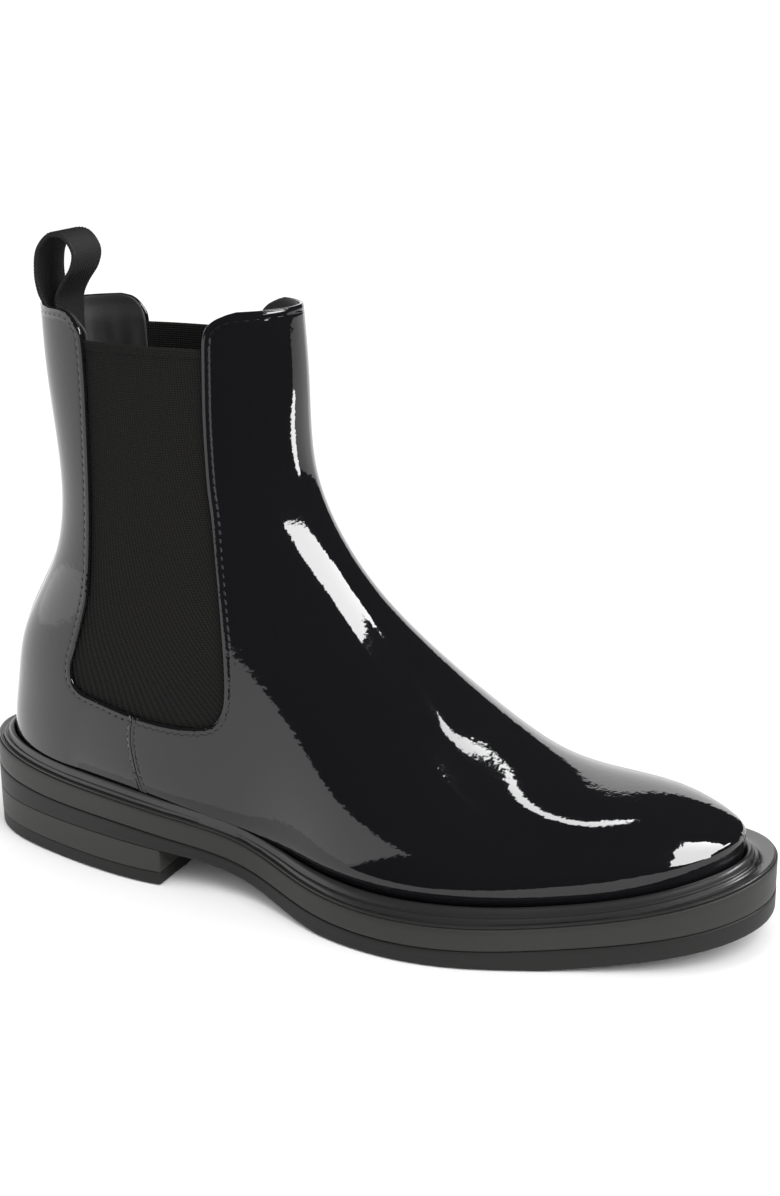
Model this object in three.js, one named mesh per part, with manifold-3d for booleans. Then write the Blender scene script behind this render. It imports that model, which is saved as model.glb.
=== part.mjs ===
// Right-foot Chelsea boot in patent leather with a storm welt and a stacked rubber sole.
// Millimetres, +X from heel to toe, +Y towards the inner (medial) side, +Z up, ground at z = 0.
// Inside this file x = 0 is the back of the heel. The exported group moves the origin to HEEL_CENTRE.
import * as THREE from "three";
import { mergeVertices } from "three/addons/utils/BufferGeometryUtils.js";
import Module from "manifold-3d";

const wasm = await Module();
wasm.setup();

// ---- Driving dimensions ------------------------------------------------------------------------

const SOLE_LENGTH = 305;
const HEEL_CENTRE = 45;
const HEEL_BREAST = 92;
const TOP_PIECE_THICKNESS = 5;
const CLEARANCE = 0.3;
const TOE_SHIFT = 6.4;
const RING_POINTS = 44;

// Reach of the cutting blocks: further out than the boot to each side, ahead and above.
const FAR_OUT = 90;
const FAR_UP = 260;
const FAR_BACK = -60;

// Half-widths of the sole edge along its length, outer side and inner side.
const SOLE_LATERAL = [[12, 20.8], [35, 31.2], [65, 38.4], [95, 40.3], [125, 38], [155, 50],
  [185, 58], [215, 55.7], [245, 45.6], [270, 37.3], [290, 27.4]];
const SOLE_MEDIAL = [[12, 23], [35, 36], [65, 38], [95, 35.5], [125, 34], [155, 38],
  [185, 46], [215, 52], [245, 52], [270, 46], [290, 32.4]];

// Heights of the sole's layers along its length.
const SOLE_TOP = [[0, 36], [40, 31.2], [78, 29.3], [110, 24], [140, 17.2], [170, 14.4],
  [205, 14.1], [240, 15.5], [275, 21.3], [305, 29.5]];
const SOLE_BOTTOM = [[0, 15.4], [40, 14.9], [78, 14.6], [110, 11], [140, 3.2], [165, -0.3],
  [205, -0.8], [235, -0.3], [275, 4.8], [305, 10.6]];
const MIDSOLE_THICKNESS = [[0, 10.5], [40, 9], [78, 8.2], [140, 8.1], [205, 7.9], [275, 9.2],
  [305, 11.5]];

// The upper's outer skin: a foot-shaped arch blended into an oval shaft.
const UPPER_BACK = 9;
const UPPER_TOE = 294.3;
const UPPER_TOE_SHIFT = 5;
const WIDEST_ABOVE_FEATHER = 9;
const FEATHER_TUCK = 0.07;
const FOOT_LATERAL = [[9, 37], [50, 42], [100, 36.6], [125, 34.5], [150, 42.7], [185, 53.2],
  [215, 54.1], [245, 50.4], [270, 50.4], [297, 51]];
const FOOT_MEDIAL = [[9, 37.5], [50, 43], [100, 33], [125, 30.8], [150, 31.5], [185, 41],
  [215, 49], [245, 57], [270, 62.7], [297, 52.1]];
const ARCH_HEIGHT = [[60, 49], [110, 69.4], [150, 71.9], [185, 55.9], [220, 28.1], [250, 20.6],
  [275, 15], [300, 5]];
const ARCH_RISES_BY = 45;
const TOE_CAP_START = 207.4;
const TOE_CAP_POWER = 2;

// The arch's section is a superellipse. Its two powers grow towards the toe, which is squarer.
const ARCH_WIDTH_POWER = [2.2, 2.7];
const ARCH_HEIGHT_POWER = [1.8, 2.3];
const SQUARER_FROM = [170, 270];
const SHAFT_POWER = 2.2;
const SHAFT_FRONT = [[30, 149], [80, 156.6], [120, 145.6], [150, 136.4], [180, 134.7], [215, 132.3]];
const SHAFT_BACK = [[30, 9], [48, 10], [60, 12], [80, 16.3], [110, 31.5], [150, 36], [180, 32.7],
  [215, 31.5]];
const SHAFT_LATERAL = [[30, 33], [70, 34.2], [110, 30.6], [160, 26.4], [215, 25.3]];
const SHAFT_MEDIAL = [[30, 33], [70, 34], [110, 30.6], [160, 25.8], [215, 25.1]];
const BLEND_AT_HEEL = 0.06;
const BLEND_AT_INSTEP = 0.6;
const BLEND_CHANGES = [40, 110];
const SIDE_CHANGE = 6;

// Topline and feather line: the upper's upper and lower edges.
const TOPLINE_HEIGHT = 203.5;
const TOPLINE_RISE = 0.04;
const TOPLINE_BACK = 29;
const FEATHER_ABOVE_SOLE = 3;

// Layers of the upper, measured inwards from the outer skin.
const LEATHER = [0, 1.6];
const STIFFENER = [1.9, 2.9];
const TAPE = [1.9, 2.6];
const LINING = [3.2, 4.2];
const LEVELS = 13;
const BEAD_LEVEL = 0.016;

// Side seam, gusset opening and the line where the back of the shaft flexes.
const GUSSET_TOP = 194;
const GUSSET_TUCK = 8;
const SEAM_GAP = 0.15;
const FLEX_HEIGHT = 72;
const FLEX_GAP = 1.3;
const GUSSET_OPENING = [[50, 206], [54.5, 203], [58, 199.2], [59.4, 195], [60, 181], [59.8, 160],
  [59.5, 132], [59, 106], [57.4, 96], [54.6, 85.6], [51.9, 77], [52.4, 70.5], [56.5, 66.8],
  [62, 65.6], [72, 64.2], [82, 62.9], [93.5, 62], [104, 62.1], [112.5, 63.6], [116.6, 67.6],
  [118.2, 74], [117.7, 86], [115.4, 104], [112.7, 122.6], [110.9, 136.4], [108.9, 150],
  [107.7, 170], [107.7, 190], [108, 198], [109.2, 201.6], [111.8, 204.2], [116, 206.4]];
const SIDE_SEAM = [[84.6, 34], [82.4, 43.1], [81.2, 48.6], [80.5, 55.4], [81.6, 66]];

// Stiffeners and tapes between the leather and the lining, as outlines in side view.
const COUNTER_OUTLINE = [[-10, 0], [70, 0], [70, 46], [44, 50], [38, 68], [-10, 68]];
const PUFF_OUTLINE = [[236, 0], [310, 0], [310, 90], [226, 90]];
const SEAM_TAPE_OUTLINE = [[77, 34], [87, 34], [86, 53], [76, 53]];
const BACK_TAPE_WIDTH = 12;
const BACK_TAPE_TOP = 176;

// Storm welt: how far it stands out from the upper and how high above the midsole, at each corner
// of its bead, then how far its flange lies in from the sole's edge and how high.
const WELT_FLANGE = [[1.2, 0.3], [1.6, 1.6]];
const WELT_FOOT = [4.2, 2.4];
const WELT_BEAD = [[2.8, 4.9], [1.6, 5.6], [0.6, 5], [0.6, 0.3]];

// Pull loop: a band of webbing folded into a teardrop above the back of the topline. Its sewn end
// hangs inside the lining.
const LOOP_WIDTH = 18;
const LOOP_THICKNESS = 1.8;
const LOOP_PATH = [[34.4, 206.2], [32, 212], [32.4, 221], [37.5, 228], [44.5, 228.6], [50, 223],
  [50.2, 216], [46, 209.5], [42.4, 206.2]];
const LOOP_STEPS = 22;
const SEWN_PATH = [[41.6, 202.4], [42.2, 191.9], [42.6, 181.4]];
const SEWN_STEPS = 3;

// Insole, filler, shank, heel nails.
const INSOLE_THICKNESS = 2.4;
const SOCK_THICKNESS = 2.4;
const FILLER_THICKNESS = 2;
const INSOLE_INSET = 5;
const SOCK_END = 284.8;
const SHANK = { start: 62, end: 160, width: 15, thickness: 1.2 };
const FILLER_SPANS = { heel_filler: [22, 58], forefoot_filler: [165, 276] };
const FILLER_HALF_WIDTH = { heel_filler: 17, forefoot_filler: 30 };
const NAIL_RADIUS = 1.1;
const NAIL_HOLE_RADIUS = 1.5;
const NAIL_PLACES = [[20, 0], [38, 18], [38, -18], [72, 20], [72, -20]];
const NAIL_HEIGHTS = [7.3, 29];
const NAIL_HOLE_HEIGHTS = [7, 33];
const SOLE_LAYER_INSET = 0.4;
const HEEL_TOP_FLAT_FROM = 100;

// ---- Materials -----------------------------------------------------------------------------------

const FINISHES = {
  patent: [0x0b0b0c, 0.08, 0],
  lining: [0x17161a, 0.6, 0],
  elastic: [0x2e2d2b, 0.9, 0],
  webbing: [0x141416, 0.85, 0],
  welt: [0x1b1a1a, 0.4, 0],
  midsole: [0x4b4a47, 0.6, 0],
  outsole: [0x373634, 0.65, 0],
  heel: [0x484744, 0.6, 0],
  top_piece: [0x3f3e3c, 0.75, 0],
  insole_board: [0x8a6f4d, 0.85, 0],
  sock: [0x1a191b, 0.6, 0],
  filler: [0x9a7650, 0.95, 0],
  stiffener: [0xcfc6b4, 0.8, 0],
  tape: [0x26262a, 0.9, 0],
  steel: [0x9da1a5, 0.35, 1],
};

const boot = new THREE.Group();
boot.position.x = -HEEL_CENTRE;

// Adds one solid to the boot as a named mesh.
function addPiece(name, solid, finish) {
  const mesh = solid.getMesh();
  const geometry = new THREE.BufferGeometry();
  geometry.setAttribute("position", new THREE.BufferAttribute(mesh.vertProperties, 3));
  geometry.setIndex(new THREE.BufferAttribute(mesh.triVerts, 1));
  geometry.computeVertexNormals();
  const [color, roughness, metalness] = FINISHES[finish];
  const material = new THREE.MeshStandardMaterial({ color, roughness, metalness });
  const piece = new THREE.Mesh(geometry, material);
  piece.name = name;
  boot.add(piece);
}

// ---- Curves --------------------------------------------------------------------------------------

// A natural cubic spline through [position, value] stations, as a function of position.
function splineThrough(stations) {
  const last = stations.length - 1;
  const at = stations.map((station) => station[0]);
  const value = stations.map((station) => station[1]);
  const bend = new Array(last + 1).fill(0);
  const ratio = new Array(last + 1).fill(0);
  for (let i = 1; i < last; i += 1) {
    const before = at[i] - at[i - 1];
    const after = at[i + 1] - at[i];
    const change = (value[i + 1] - value[i]) / after - (value[i] - value[i - 1]) / before;
    const pivot = 2 * (before + after) - before * ratio[i - 1];
    ratio[i] = after / pivot;
    bend[i] = (6 * change - before * bend[i - 1]) / pivot;
  }
  for (let i = last - 1; i > 0; i -= 1) {
    bend[i] -= ratio[i] * bend[i + 1];
  }
  return (position) => {
    let k = 0;
    while (k < last - 1 && position > at[k + 1]) {
      k += 1;
    }
    const span = at[k + 1] - at[k];
    const t = (position - at[k]) / span;
    const u = 1 - t;
    const curve = (u * u * u - u) * bend[k] + (t * t * t - t) * bend[k + 1];
    return u * value[k] + t * value[k + 1] + (curve * span * span) / 6;
  };
}

const clamp = THREE.MathUtils.clamp;
const soleTop = splineThrough(SOLE_TOP);
const soleBottomCurve = splineThrough(SOLE_BOTTOM);
const midsoleThickness = splineThrough(MIDSOLE_THICKNESS);
const soleBottom = (x) => Math.max(0, soleBottomCurve(x));
const midsoleBottom = (x) => soleTop(x) - midsoleThickness(x);
const featherLine = (x) => soleTop(clamp(x, 0, SOLE_LENGTH)) + FEATHER_ABOVE_SOLE;
const topline = (x) => TOPLINE_HEIGHT + (x - TOPLINE_BACK) * TOPLINE_RISE;

// Half-widths become a shape factor, so that the outline closes round at both ends.
function shapeFactor(widths) {
  return splineThrough(widths.map(([x, width]) => [x, width / Math.sqrt(x * (SOLE_LENGTH - x))]));
}

const soleFactor = { "-1": shapeFactor(SOLE_LATERAL), 1: shapeFactor(SOLE_MEDIAL) };

// ---- The upper's outer skin ------------------------------------------------------------------------

const footLateral = splineThrough(FOOT_LATERAL);
const footMedial = splineThrough(FOOT_MEDIAL);
const archHeight = splineThrough(ARCH_HEIGHT);
const shaftFront = splineThrough(SHAFT_FRONT);
const shaftBack = splineThrough(SHAFT_BACK);
const shaftLateral = splineThrough(SHAFT_LATERAL);
const shaftMedial = splineThrough(SHAFT_MEDIAL);

// Runs smoothly from the lateral value to the medial value as y crosses zero.
function bySide(y, lateral, medial) {
  const t = y / SIDE_CHANGE;
  return (medial + lateral) / 2 + ((medial - lateral) / 2) * (t / Math.sqrt(1 + t * t));
}

function footField(x, y, z) {
  const outside = Math.max(UPPER_BACK - x, x - UPPER_TOE);
  if (outside >= -0.01) {
    return 0.02 + outside * 0.1;
  }
  const span = UPPER_TOE - UPPER_BACK;
  const yCentred = y - UPPER_TOE_SHIFT * (x / UPPER_TOE) ** 2;
  const above = z - featherLine(x) - WIDEST_ABOVE_FEATHER;
  const tuck = 1 - FEATHER_TUCK * (Math.max(-above, 0) / WIDEST_ABOVE_FEATHER) ** 2;
  const factor = bySide(yCentred, footLateral(x), footMedial(x));
  const halfWidth = (factor * 2 * Math.sqrt((x - UPPER_BACK) * (UPPER_TOE - x)) * tuck) / span;
  const intoCap = clamp((x - TOE_CAP_START) / (UPPER_TOE - TOE_CAP_START), 0, 0.9999);
  const closing = (1 - intoCap ** TOE_CAP_POWER) ** (1 / TOE_CAP_POWER);
  const rising = THREE.MathUtils.smoothstep(x, UPPER_BACK, ARCH_RISES_BY);
  const height = Math.max(archHeight(x), 1) * closing * rising;
  const squareness = THREE.MathUtils.smoothstep(x, ...SQUARER_FROM);
  const widthPower = THREE.MathUtils.lerp(...ARCH_WIDTH_POWER, squareness);
  const heightPower = THREE.MathUtils.lerp(...ARCH_HEIGHT_POWER, squareness);
  const across = (Math.abs(yCentred) / halfWidth) ** widthPower;
  const up = (Math.max(above, 0) / Math.max(height, 1)) ** heightPower;
  return (across + up) ** (2 / (widthPower + heightPower)) - 1;
}

function shaftField(x, y, z) {
  const middle = (shaftFront(z) + shaftBack(z)) / 2;
  const halfLength = (shaftFront(z) - shaftBack(z)) / 2;
  const halfWidth = bySide(y, shaftLateral(z), shaftMedial(z));
  const across = (Math.abs(y) / halfWidth) ** SHAFT_POWER;
  const along = (Math.abs(x - middle) / halfLength) ** SHAFT_POWER;
  return (across + along) ** (1 / SHAFT_POWER) - 1;
}

// Negative inside the upper, positive outside, with a fillet where the shaft meets the instep.
function upperField(x, y, z) {
  const foot = footField(x, y, z);
  const shaft = shaftField(x, y, z);
  const towardsInstep = THREE.MathUtils.smoothstep(x, ...BLEND_CHANGES);
  const blend = BLEND_AT_HEEL + (BLEND_AT_INSTEP - BLEND_AT_HEEL) * towardsInstep;
  const near = Math.max(0, 1 - Math.abs(foot - shaft) / blend);
  return Math.min(foot, shaft) - (near * near * blend) / 4;
}

// Each level is a ring round the boot: level 0 on the feather line, level 1 on the topline.
const ringCentre = splineThrough([[0, 150], [0.16, 145], [0.32, 112], [0.56, 86], [1, 80]]);
const ringHalfLength = splineThrough([[0, 146], [0.16, 138], [0.32, 106], [0.56, 72], [1, 50]]);
const RING_HALF_WIDTH = 38;

function skinPoint(angle, level) {
  const alongX = Math.cos(angle) * ringHalfLength(level);
  const alongY = Math.sin(angle) * RING_HALF_WIDTH;
  const place = (reach) => {
    const x = ringCentre(level) + alongX * reach;
    return new THREE.Vector3(x, alongY * reach, THREE.MathUtils.lerp(featherLine(x), topline(x), level));
  };
  let inside = 0.2;
  let outside = 1.9;
  for (let step = 0; step < 24; step += 1) {
    const middle = (inside + outside) / 2;
    const p = place(middle);
    if (upperField(p.x, p.y, p.z) < 0) {
      inside = middle;
    } else {
      outside = middle;
    }
  }
  return place(inside);
}

function skinNormal(p) {
  const step = 0.05;
  return new THREE.Vector3(
    upperField(p.x + step, p.y, p.z) - upperField(p.x - step, p.y, p.z),
    upperField(p.x, p.y + step, p.z) - upperField(p.x, p.y - step, p.z),
    upperField(p.x, p.y, p.z + step) - upperField(p.x, p.y, p.z - step),
  ).normalize();
}

const ringAngles = Array.from({ length: RING_POINTS }, (_, i) => (2 * Math.PI * i) / RING_POINTS);
const skinRing = (level) => ringAngles.map((angle) => {
  const point = skinPoint(angle, level);
  return { point, normal: skinNormal(point) };
});
const skinRings = Array.from({ length: LEVELS + 1 }, (_, k) => skinRing(k / LEVELS));

const ringAtDepth = (ring, depth) =>
  ring.map(({ point, normal }) => point.clone().addScaledVector(normal, -depth));

// ---- Solids from rings -----------------------------------------------------------------------------

// A closed solid from points and triangles, turned to face outwards.
function solidFrom(points, triangles) {
  let volume = 0;
  for (const [a, b, c] of triangles) {
    volume += points[a].dot(points[b].clone().cross(points[c]));
  }
  const facing = volume > 0 ? triangles : triangles.map(([a, b, c]) => [a, c, b]);
  const geometry = new THREE.BufferGeometry().setFromPoints(points);
  geometry.setIndex(facing.flat());
  const merged = mergeVertices(geometry, 1e-4);
  return new wasm.Manifold(new wasm.Mesh({
    numProp: 3,
    vertProperties: merged.attributes.position.array,
    triVerts: new Uint32Array(merged.index.array),
  }));
}

// Triangles that join ring k to ring k + 1 for every k in a list of rings. From ring turnedFrom on,
// the quads are split along their other diagonal.
function wallBetween(count, rings, closesOnItself, turnedFrom = Infinity) {
  const triangles = [];
  const joins = closesOnItself ? rings : rings - 1;
  for (let k = 0; k < joins; k += 1) {
    for (let i = 0; i < count; i += 1) {
      const a = k * count + i;
      const b = k * count + ((i + 1) % count);
      const c = ((k + 1) % rings) * count + i;
      const d = ((k + 1) % rings) * count + ((i + 1) % count);
      triangles.push(...(k < turnedFrom ? [[a, b, d], [a, d, c]] : [[a, b, c], [b, d, c]]));
    }
  }
  return triangles;
}

// A band that goes all the way round: its cross-section runs through the rings and closes.
function bandSolid(rings, turnedFrom) {
  return solidFrom(rings.flat(), wallBetween(rings[0].length, rings.length, true, turnedFrom));
}

// A slab between a lower ring and an upper ring, closed by strips that run across the boot.
function slabSolid(lower, upper) {
  const count = lower.length;
  const triangles = wallBetween(count, 2, false);
  for (let i = 0; i < count / 2; i += 1) {
    const a = i;
    const b = i + 1;
    const c = (count - i) % count;
    const d = count - i - 1;
    for (const [offset, flip] of [[0, false], [count, true]]) {
      const strip = a === c ? [[a, d, b]] : b === d ? [[a, c, b]] : [[a, c, d], [a, d, b]];
      for (const corners of strip) {
        const turned = flip ? [corners[0], corners[2], corners[1]] : corners;
        triangles.push(turned.map((corner) => corner + offset));
      }
    }
  }
  return solidFrom([...lower, ...upper], triangles);
}

// A block whose outline is drawn in side view and which runs across the boot from yLow to yHigh.
function sidePrism(outline, yLow, yHigh, grow = 0) {
  let section = new wasm.CrossSection([outline], "NonZero");
  if (grow !== 0) {
    section = section.offset(grow, "Miter");
  }
  return wasm.Manifold.extrude(section, yHigh - yLow).rotate([90, 0, 0]).translate([0, yHigh, 0]);
}

const boxBetween = (low, high) =>
  wasm.Manifold.cube([high[0] - low[0], high[1] - low[1], high[2] - low[2]]).translate(low);

// ---- Sole ------------------------------------------------------------------------------------------

const soleSide = (x, side) => side * soleFactor[side](x) * Math.sqrt(x * (SOLE_LENGTH - x))
  + TOE_SHIFT * (x / SOLE_LENGTH) ** 2;

// The sole's edge in plan, at the ring angles, moved inwards by an inset.
function soleRing(inset, heightAt) {
  const edge = ringAngles.map((angle, i) => {
    const x = (SOLE_LENGTH / 2) * (1 + Math.cos(angle));
    const side = i < RING_POINTS / 2 ? 1 : -1;
    return new THREE.Vector2(x, soleSide(clamp(x, 0, SOLE_LENGTH), side));
  });
  return edge.map((p, i) => {
    const before = edge[(i + RING_POINTS - 1) % RING_POINTS];
    const after = edge[(i + 1) % RING_POINTS];
    const inwards = new THREE.Vector2(before.y - after.y, after.x - before.x).normalize();
    const x = p.x + inwards.x * inset;
    return new THREE.Vector3(x, p.y + inwards.y * inset, heightAt(x));
  });
}

const soleLayer = (inset, bottomAt, topAt) => slabSolid(soleRing(inset, bottomAt), soleRing(inset, topAt));

const nailRods = (radius, [low, high]) => NAIL_PLACES.map(([x, y]) =>
  wasm.Manifold.cylinder(high - low, radius, radius, 10).translate([x, y, low]));

const drilled = (solid) => nailRods(NAIL_HOLE_RADIUS, NAIL_HOLE_HEIGHTS)
  .reduce((left, hole) => left.subtract(hole), solid);

function addSole() {
  const ahead = boxBetween([HEEL_BREAST, -FAR_OUT, -1], [SOLE_LENGTH + 1, FAR_OUT, FAR_UP]);
  const heelTopAt = (x) => soleBottomCurve(Math.min(x, HEEL_TOP_FLAT_FROM)) - CLEARANCE;
  const topPiece = soleLayer(SOLE_LAYER_INSET, () => 0, () => TOP_PIECE_THICKNESS).subtract(ahead);
  const heel = soleLayer(0, () => TOP_PIECE_THICKNESS + CLEARANCE, heelTopAt).subtract(ahead);
  const outsole = soleLayer(0, soleBottom, (x) => midsoleBottom(x) - CLEARANCE);
  const midsole = soleLayer(SOLE_LAYER_INSET, midsoleBottom, soleTop);
  addPiece("heel_top_piece", topPiece, "top_piece");
  addPiece("heel_block", drilled(heel), "heel");
  addPiece("outsole", drilled(outsole), "outsole");
  addPiece("midsole", drilled(midsole), "midsole");
  nailRods(NAIL_RADIUS, NAIL_HEIGHTS).forEach((nail, i) => {
    addPiece(`heel_nail_${i + 1}`, nail, "steel");
  });
}

// The storm welt: a flange on the midsole that turns up into a bead against the upper.
function addWelt() {
  const foot = skinRings[0];
  const besideBead = skinRing(BEAD_LEVEL);
  const besideUpper = (ring, [gap, rise]) => ringAtDepth(ring, -gap).map((p) => {
    p.z = soleTop(clamp(p.x, 0, SOLE_LENGTH)) + rise;
    return p;
  });
  addPiece("storm_welt", bandSolid([
    ...WELT_FLANGE.map(([inset, rise]) => soleRing(inset, (x) => soleTop(x) + rise)),
    besideUpper(foot, WELT_FOOT),
    ...WELT_BEAD.map((corner) => besideUpper(besideBead, corner)),
  ]), "welt");
}

// ---- Upper -----------------------------------------------------------------------------------------

// A skin layer between two depths, open at the topline and the feather line. Its inner face is split
// into the same triangles as its outer face, so that layers nest without touching.
function layerSolid([outerDepth, innerDepth]) {
  const outer = skinRings.map((ring) => ringAtDepth(ring, outerDepth));
  const inner = skinRings.map((ring) => ringAtDepth(ring, innerDepth)).reverse();
  return bandSolid([...outer, ...inner], outer.length);
}

const openingOutline = [...GUSSET_OPENING, [GUSSET_OPENING.at(-1)[0], FAR_UP],
  [GUSSET_OPENING[0][0], FAR_UP]];
const seamAhead = (gap) => SIDE_SEAM.map(([x, z]) => [x - gap, z]);
const rearOutline = (gap) => [[seamAhead(gap)[0][0], 0], ...seamAhead(gap),
  [seamAhead(gap).at(-1)[0], FAR_UP], [FAR_BACK, FAR_UP], [FAR_BACK, 0]];
const SIDES = { lateral: [-FAR_OUT, -SEAM_GAP], medial: [SEAM_GAP, FAR_OUT] };
const acrossBoot = (outline) => sidePrism(outline, -FAR_OUT, FAR_OUT);

function addUpper() {
  const opening = acrossBoot(openingOutline);
  const rearPart = acrossBoot(rearOutline(SEAM_GAP));
  const rearCut = acrossBoot(rearOutline(-SEAM_GAP));
  const flexSlot = boxBetween([FAR_BACK, -FAR_OUT, FLEX_HEIGHT - FLEX_GAP],
    [SOLE_LENGTH, FAR_OUT, FLEX_HEIGHT + FLEX_GAP]);
  const shaftPart = boxBetween([FAR_BACK, -FAR_OUT, FLEX_HEIGHT], [SOLE_LENGTH, FAR_OUT, FAR_UP]);

  const leather = layerSolid(LEATHER).subtract(opening);
  const rear = leather.intersect(rearPart).subtract(flexSlot);
  addPiece("vamp", leather.subtract(rearCut), "patent");
  for (const [side, [yLow, yHigh]] of Object.entries(SIDES)) {
    const half = rear.intersect(boxBetween([FAR_BACK, yLow, 0], [SOLE_LENGTH, yHigh, FAR_UP]));
    addPiece(`quarter_${side}_shaft`, half.intersect(shaftPart), "patent");
    addPiece(`quarter_${side}_heel`, half.subtract(shaftPart), "patent");
  }

  const lining = layerSolid(LINING).subtract(opening);
  const rearLining = lining.intersect(rearPart).subtract(flexSlot);
  addPiece("vamp_lining", lining.subtract(rearCut), "lining");
  addPiece("quarter_lining", rearLining.intersect(shaftPart), "lining");
  addPiece("heel_lining", rearLining.subtract(shaftPart), "lining");
}

function addGussets() {
  const layer = layerSolid(STIFFENER);
  for (const [side, [yLow, yHigh]] of Object.entries(SIDES)) {
    const panel = sidePrism(openingOutline, yLow, yHigh, GUSSET_TUCK);
    const below = boxBetween([0, -FAR_OUT, 0], [SOLE_LENGTH, FAR_OUT, GUSSET_TOP]);
    addPiece(`elastic_gusset_${side}`, layer.intersect(panel).intersect(below), "elastic");
  }
}

function addStiffeners() {
  const layer = layerSolid(STIFFENER);
  addPiece("heel_counter", layer.intersect(acrossBoot(COUNTER_OUTLINE)), "stiffener");
  addPiece("toe_puff", layer.intersect(acrossBoot(PUFF_OUTLINE)), "stiffener");
}

function addTapes() {
  const layer = layerSolid(TAPE);
  const backTape = boxBetween([0, -BACK_TAPE_WIDTH / 2, FLEX_HEIGHT + FLEX_GAP],
    [HEEL_CENTRE, BACK_TAPE_WIDTH / 2, BACK_TAPE_TOP]);
  addPiece("back_seam_tape", layer.intersect(backTape), "tape");
  for (const [side, [yLow, yHigh]] of Object.entries(SIDES)) {
    const strip = sidePrism(SEAM_TAPE_OUTLINE, yLow, yHigh);
    addPiece(`side_seam_tape_${side}`, layer.intersect(strip), "tape");
  }
}

// ---- Insole, filler and shank ------------------------------------------------------------------------

function innerSlab(inset, low, high) {
  const ringAt = (rise) => ringAtDepth(skinRings[0], inset).map((p) => {
    p.z = soleTop(p.x) + rise;
    return p;
  });
  return slabSolid(ringAt(low), ringAt(high));
}

function addInside() {
  const boardLow = FILLER_THICKNESS + 2 * CLEARANCE;
  const sockLow = boardLow + INSOLE_THICKNESS + CLEARANCE;
  const board = innerSlab(INSOLE_INSET, boardLow, boardLow + INSOLE_THICKNESS);
  addPiece("insole_board", board, "insole_board");
  const sock = innerSlab(INSOLE_INSET + CLEARANCE, sockLow, sockLow + SOCK_THICKNESS);
  addPiece("sock_liner", sock.trimByPlane([-1, 0, 0], -SOCK_END), "sock");
  const filling = innerSlab(INSOLE_INSET, CLEARANCE, CLEARANCE + FILLER_THICKNESS);
  for (const [name, [from, to]] of Object.entries(FILLER_SPANS)) {
    const halfWidth = FILLER_HALF_WIDTH[name];
    const block = boxBetween([from, -halfWidth, 0], [to, halfWidth, FAR_UP]);
    addPiece(name, drilled(filling.intersect(block)), "filler");
  }
  const strip = boxBetween([SHANK.start, -SHANK.width / 2, 0],
    [SHANK.end, SHANK.width / 2, FAR_UP]);
  const bar = innerSlab(INSOLE_INSET, 2 * CLEARANCE, 2 * CLEARANCE + SHANK.thickness);
  addPiece("shank", bar.intersect(strip), "steel");
}

// ---- Pull loop ---------------------------------------------------------------------------------------

// A flat band swept along a path in side view.
function webbingSolid(path, steps) {
  const curve = new THREE.CatmullRomCurve3(path.map(([x, z]) => new THREE.Vector3(x, 0, z)));
  const rings = [];
  for (let k = 0; k <= steps; k += 1) {
    const centre = curve.getPoint(k / steps);
    const along = curve.getTangent(k / steps);
    const out = new THREE.Vector3(-along.z, 0, along.x).multiplyScalar(LOOP_THICKNESS / 2);
    const half = LOOP_WIDTH / 2;
    rings.push([[1, half], [1, -half], [-1, -half], [-1, half]].map(([turn, y]) =>
      centre.clone().addScaledVector(out, turn).add(new THREE.Vector3(0, y, 0))));
  }
  const triangles = wallBetween(4, rings.length, false);
  const end = 4 * steps;
  triangles.push([0, 2, 1], [0, 3, 2], [end, end + 1, end + 2], [end, end + 2, end + 3]);
  return solidFrom(rings.flat(), triangles);
}

function addPullLoop() {
  addPiece("pull_loop", webbingSolid(LOOP_PATH, LOOP_STEPS), "webbing");
  addPiece("pull_loop_tail", webbingSolid(SEWN_PATH, SEWN_STEPS), "webbing");
}

addSole();
addWelt();
addInside();
addUpper();
addGussets();
addStiffeners();
addTapes();
addPullLoop();

export default boot;
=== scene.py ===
import math

import bmesh
import bpy
import numpy as np
from mathutils import Matrix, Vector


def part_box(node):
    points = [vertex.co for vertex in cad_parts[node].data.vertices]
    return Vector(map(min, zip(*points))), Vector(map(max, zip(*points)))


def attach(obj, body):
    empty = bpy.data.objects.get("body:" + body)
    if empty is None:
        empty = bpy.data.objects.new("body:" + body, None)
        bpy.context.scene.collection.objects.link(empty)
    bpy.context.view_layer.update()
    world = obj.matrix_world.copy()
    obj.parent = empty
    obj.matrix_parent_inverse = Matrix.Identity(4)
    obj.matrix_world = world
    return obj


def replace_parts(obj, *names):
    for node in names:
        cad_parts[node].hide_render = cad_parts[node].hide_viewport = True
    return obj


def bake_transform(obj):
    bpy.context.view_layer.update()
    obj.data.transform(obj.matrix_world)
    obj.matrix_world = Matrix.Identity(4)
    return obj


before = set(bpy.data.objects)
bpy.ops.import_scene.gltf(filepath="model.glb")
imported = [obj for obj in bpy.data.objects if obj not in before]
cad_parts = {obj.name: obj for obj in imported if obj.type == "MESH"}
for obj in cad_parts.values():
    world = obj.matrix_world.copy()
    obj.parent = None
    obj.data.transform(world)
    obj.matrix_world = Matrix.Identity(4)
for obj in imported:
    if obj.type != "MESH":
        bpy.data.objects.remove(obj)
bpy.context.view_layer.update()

# Shapes below are worked out in millimetres, with x = 0 at the back of the heel, as the CAD does.
MM = 0.001
HEEL_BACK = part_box("outsole")[0].x
SOLE_LENGTH = (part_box("outsole")[1].x - HEEL_BACK) / MM

# ---- Dimensions shared with the CAD ----

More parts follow.
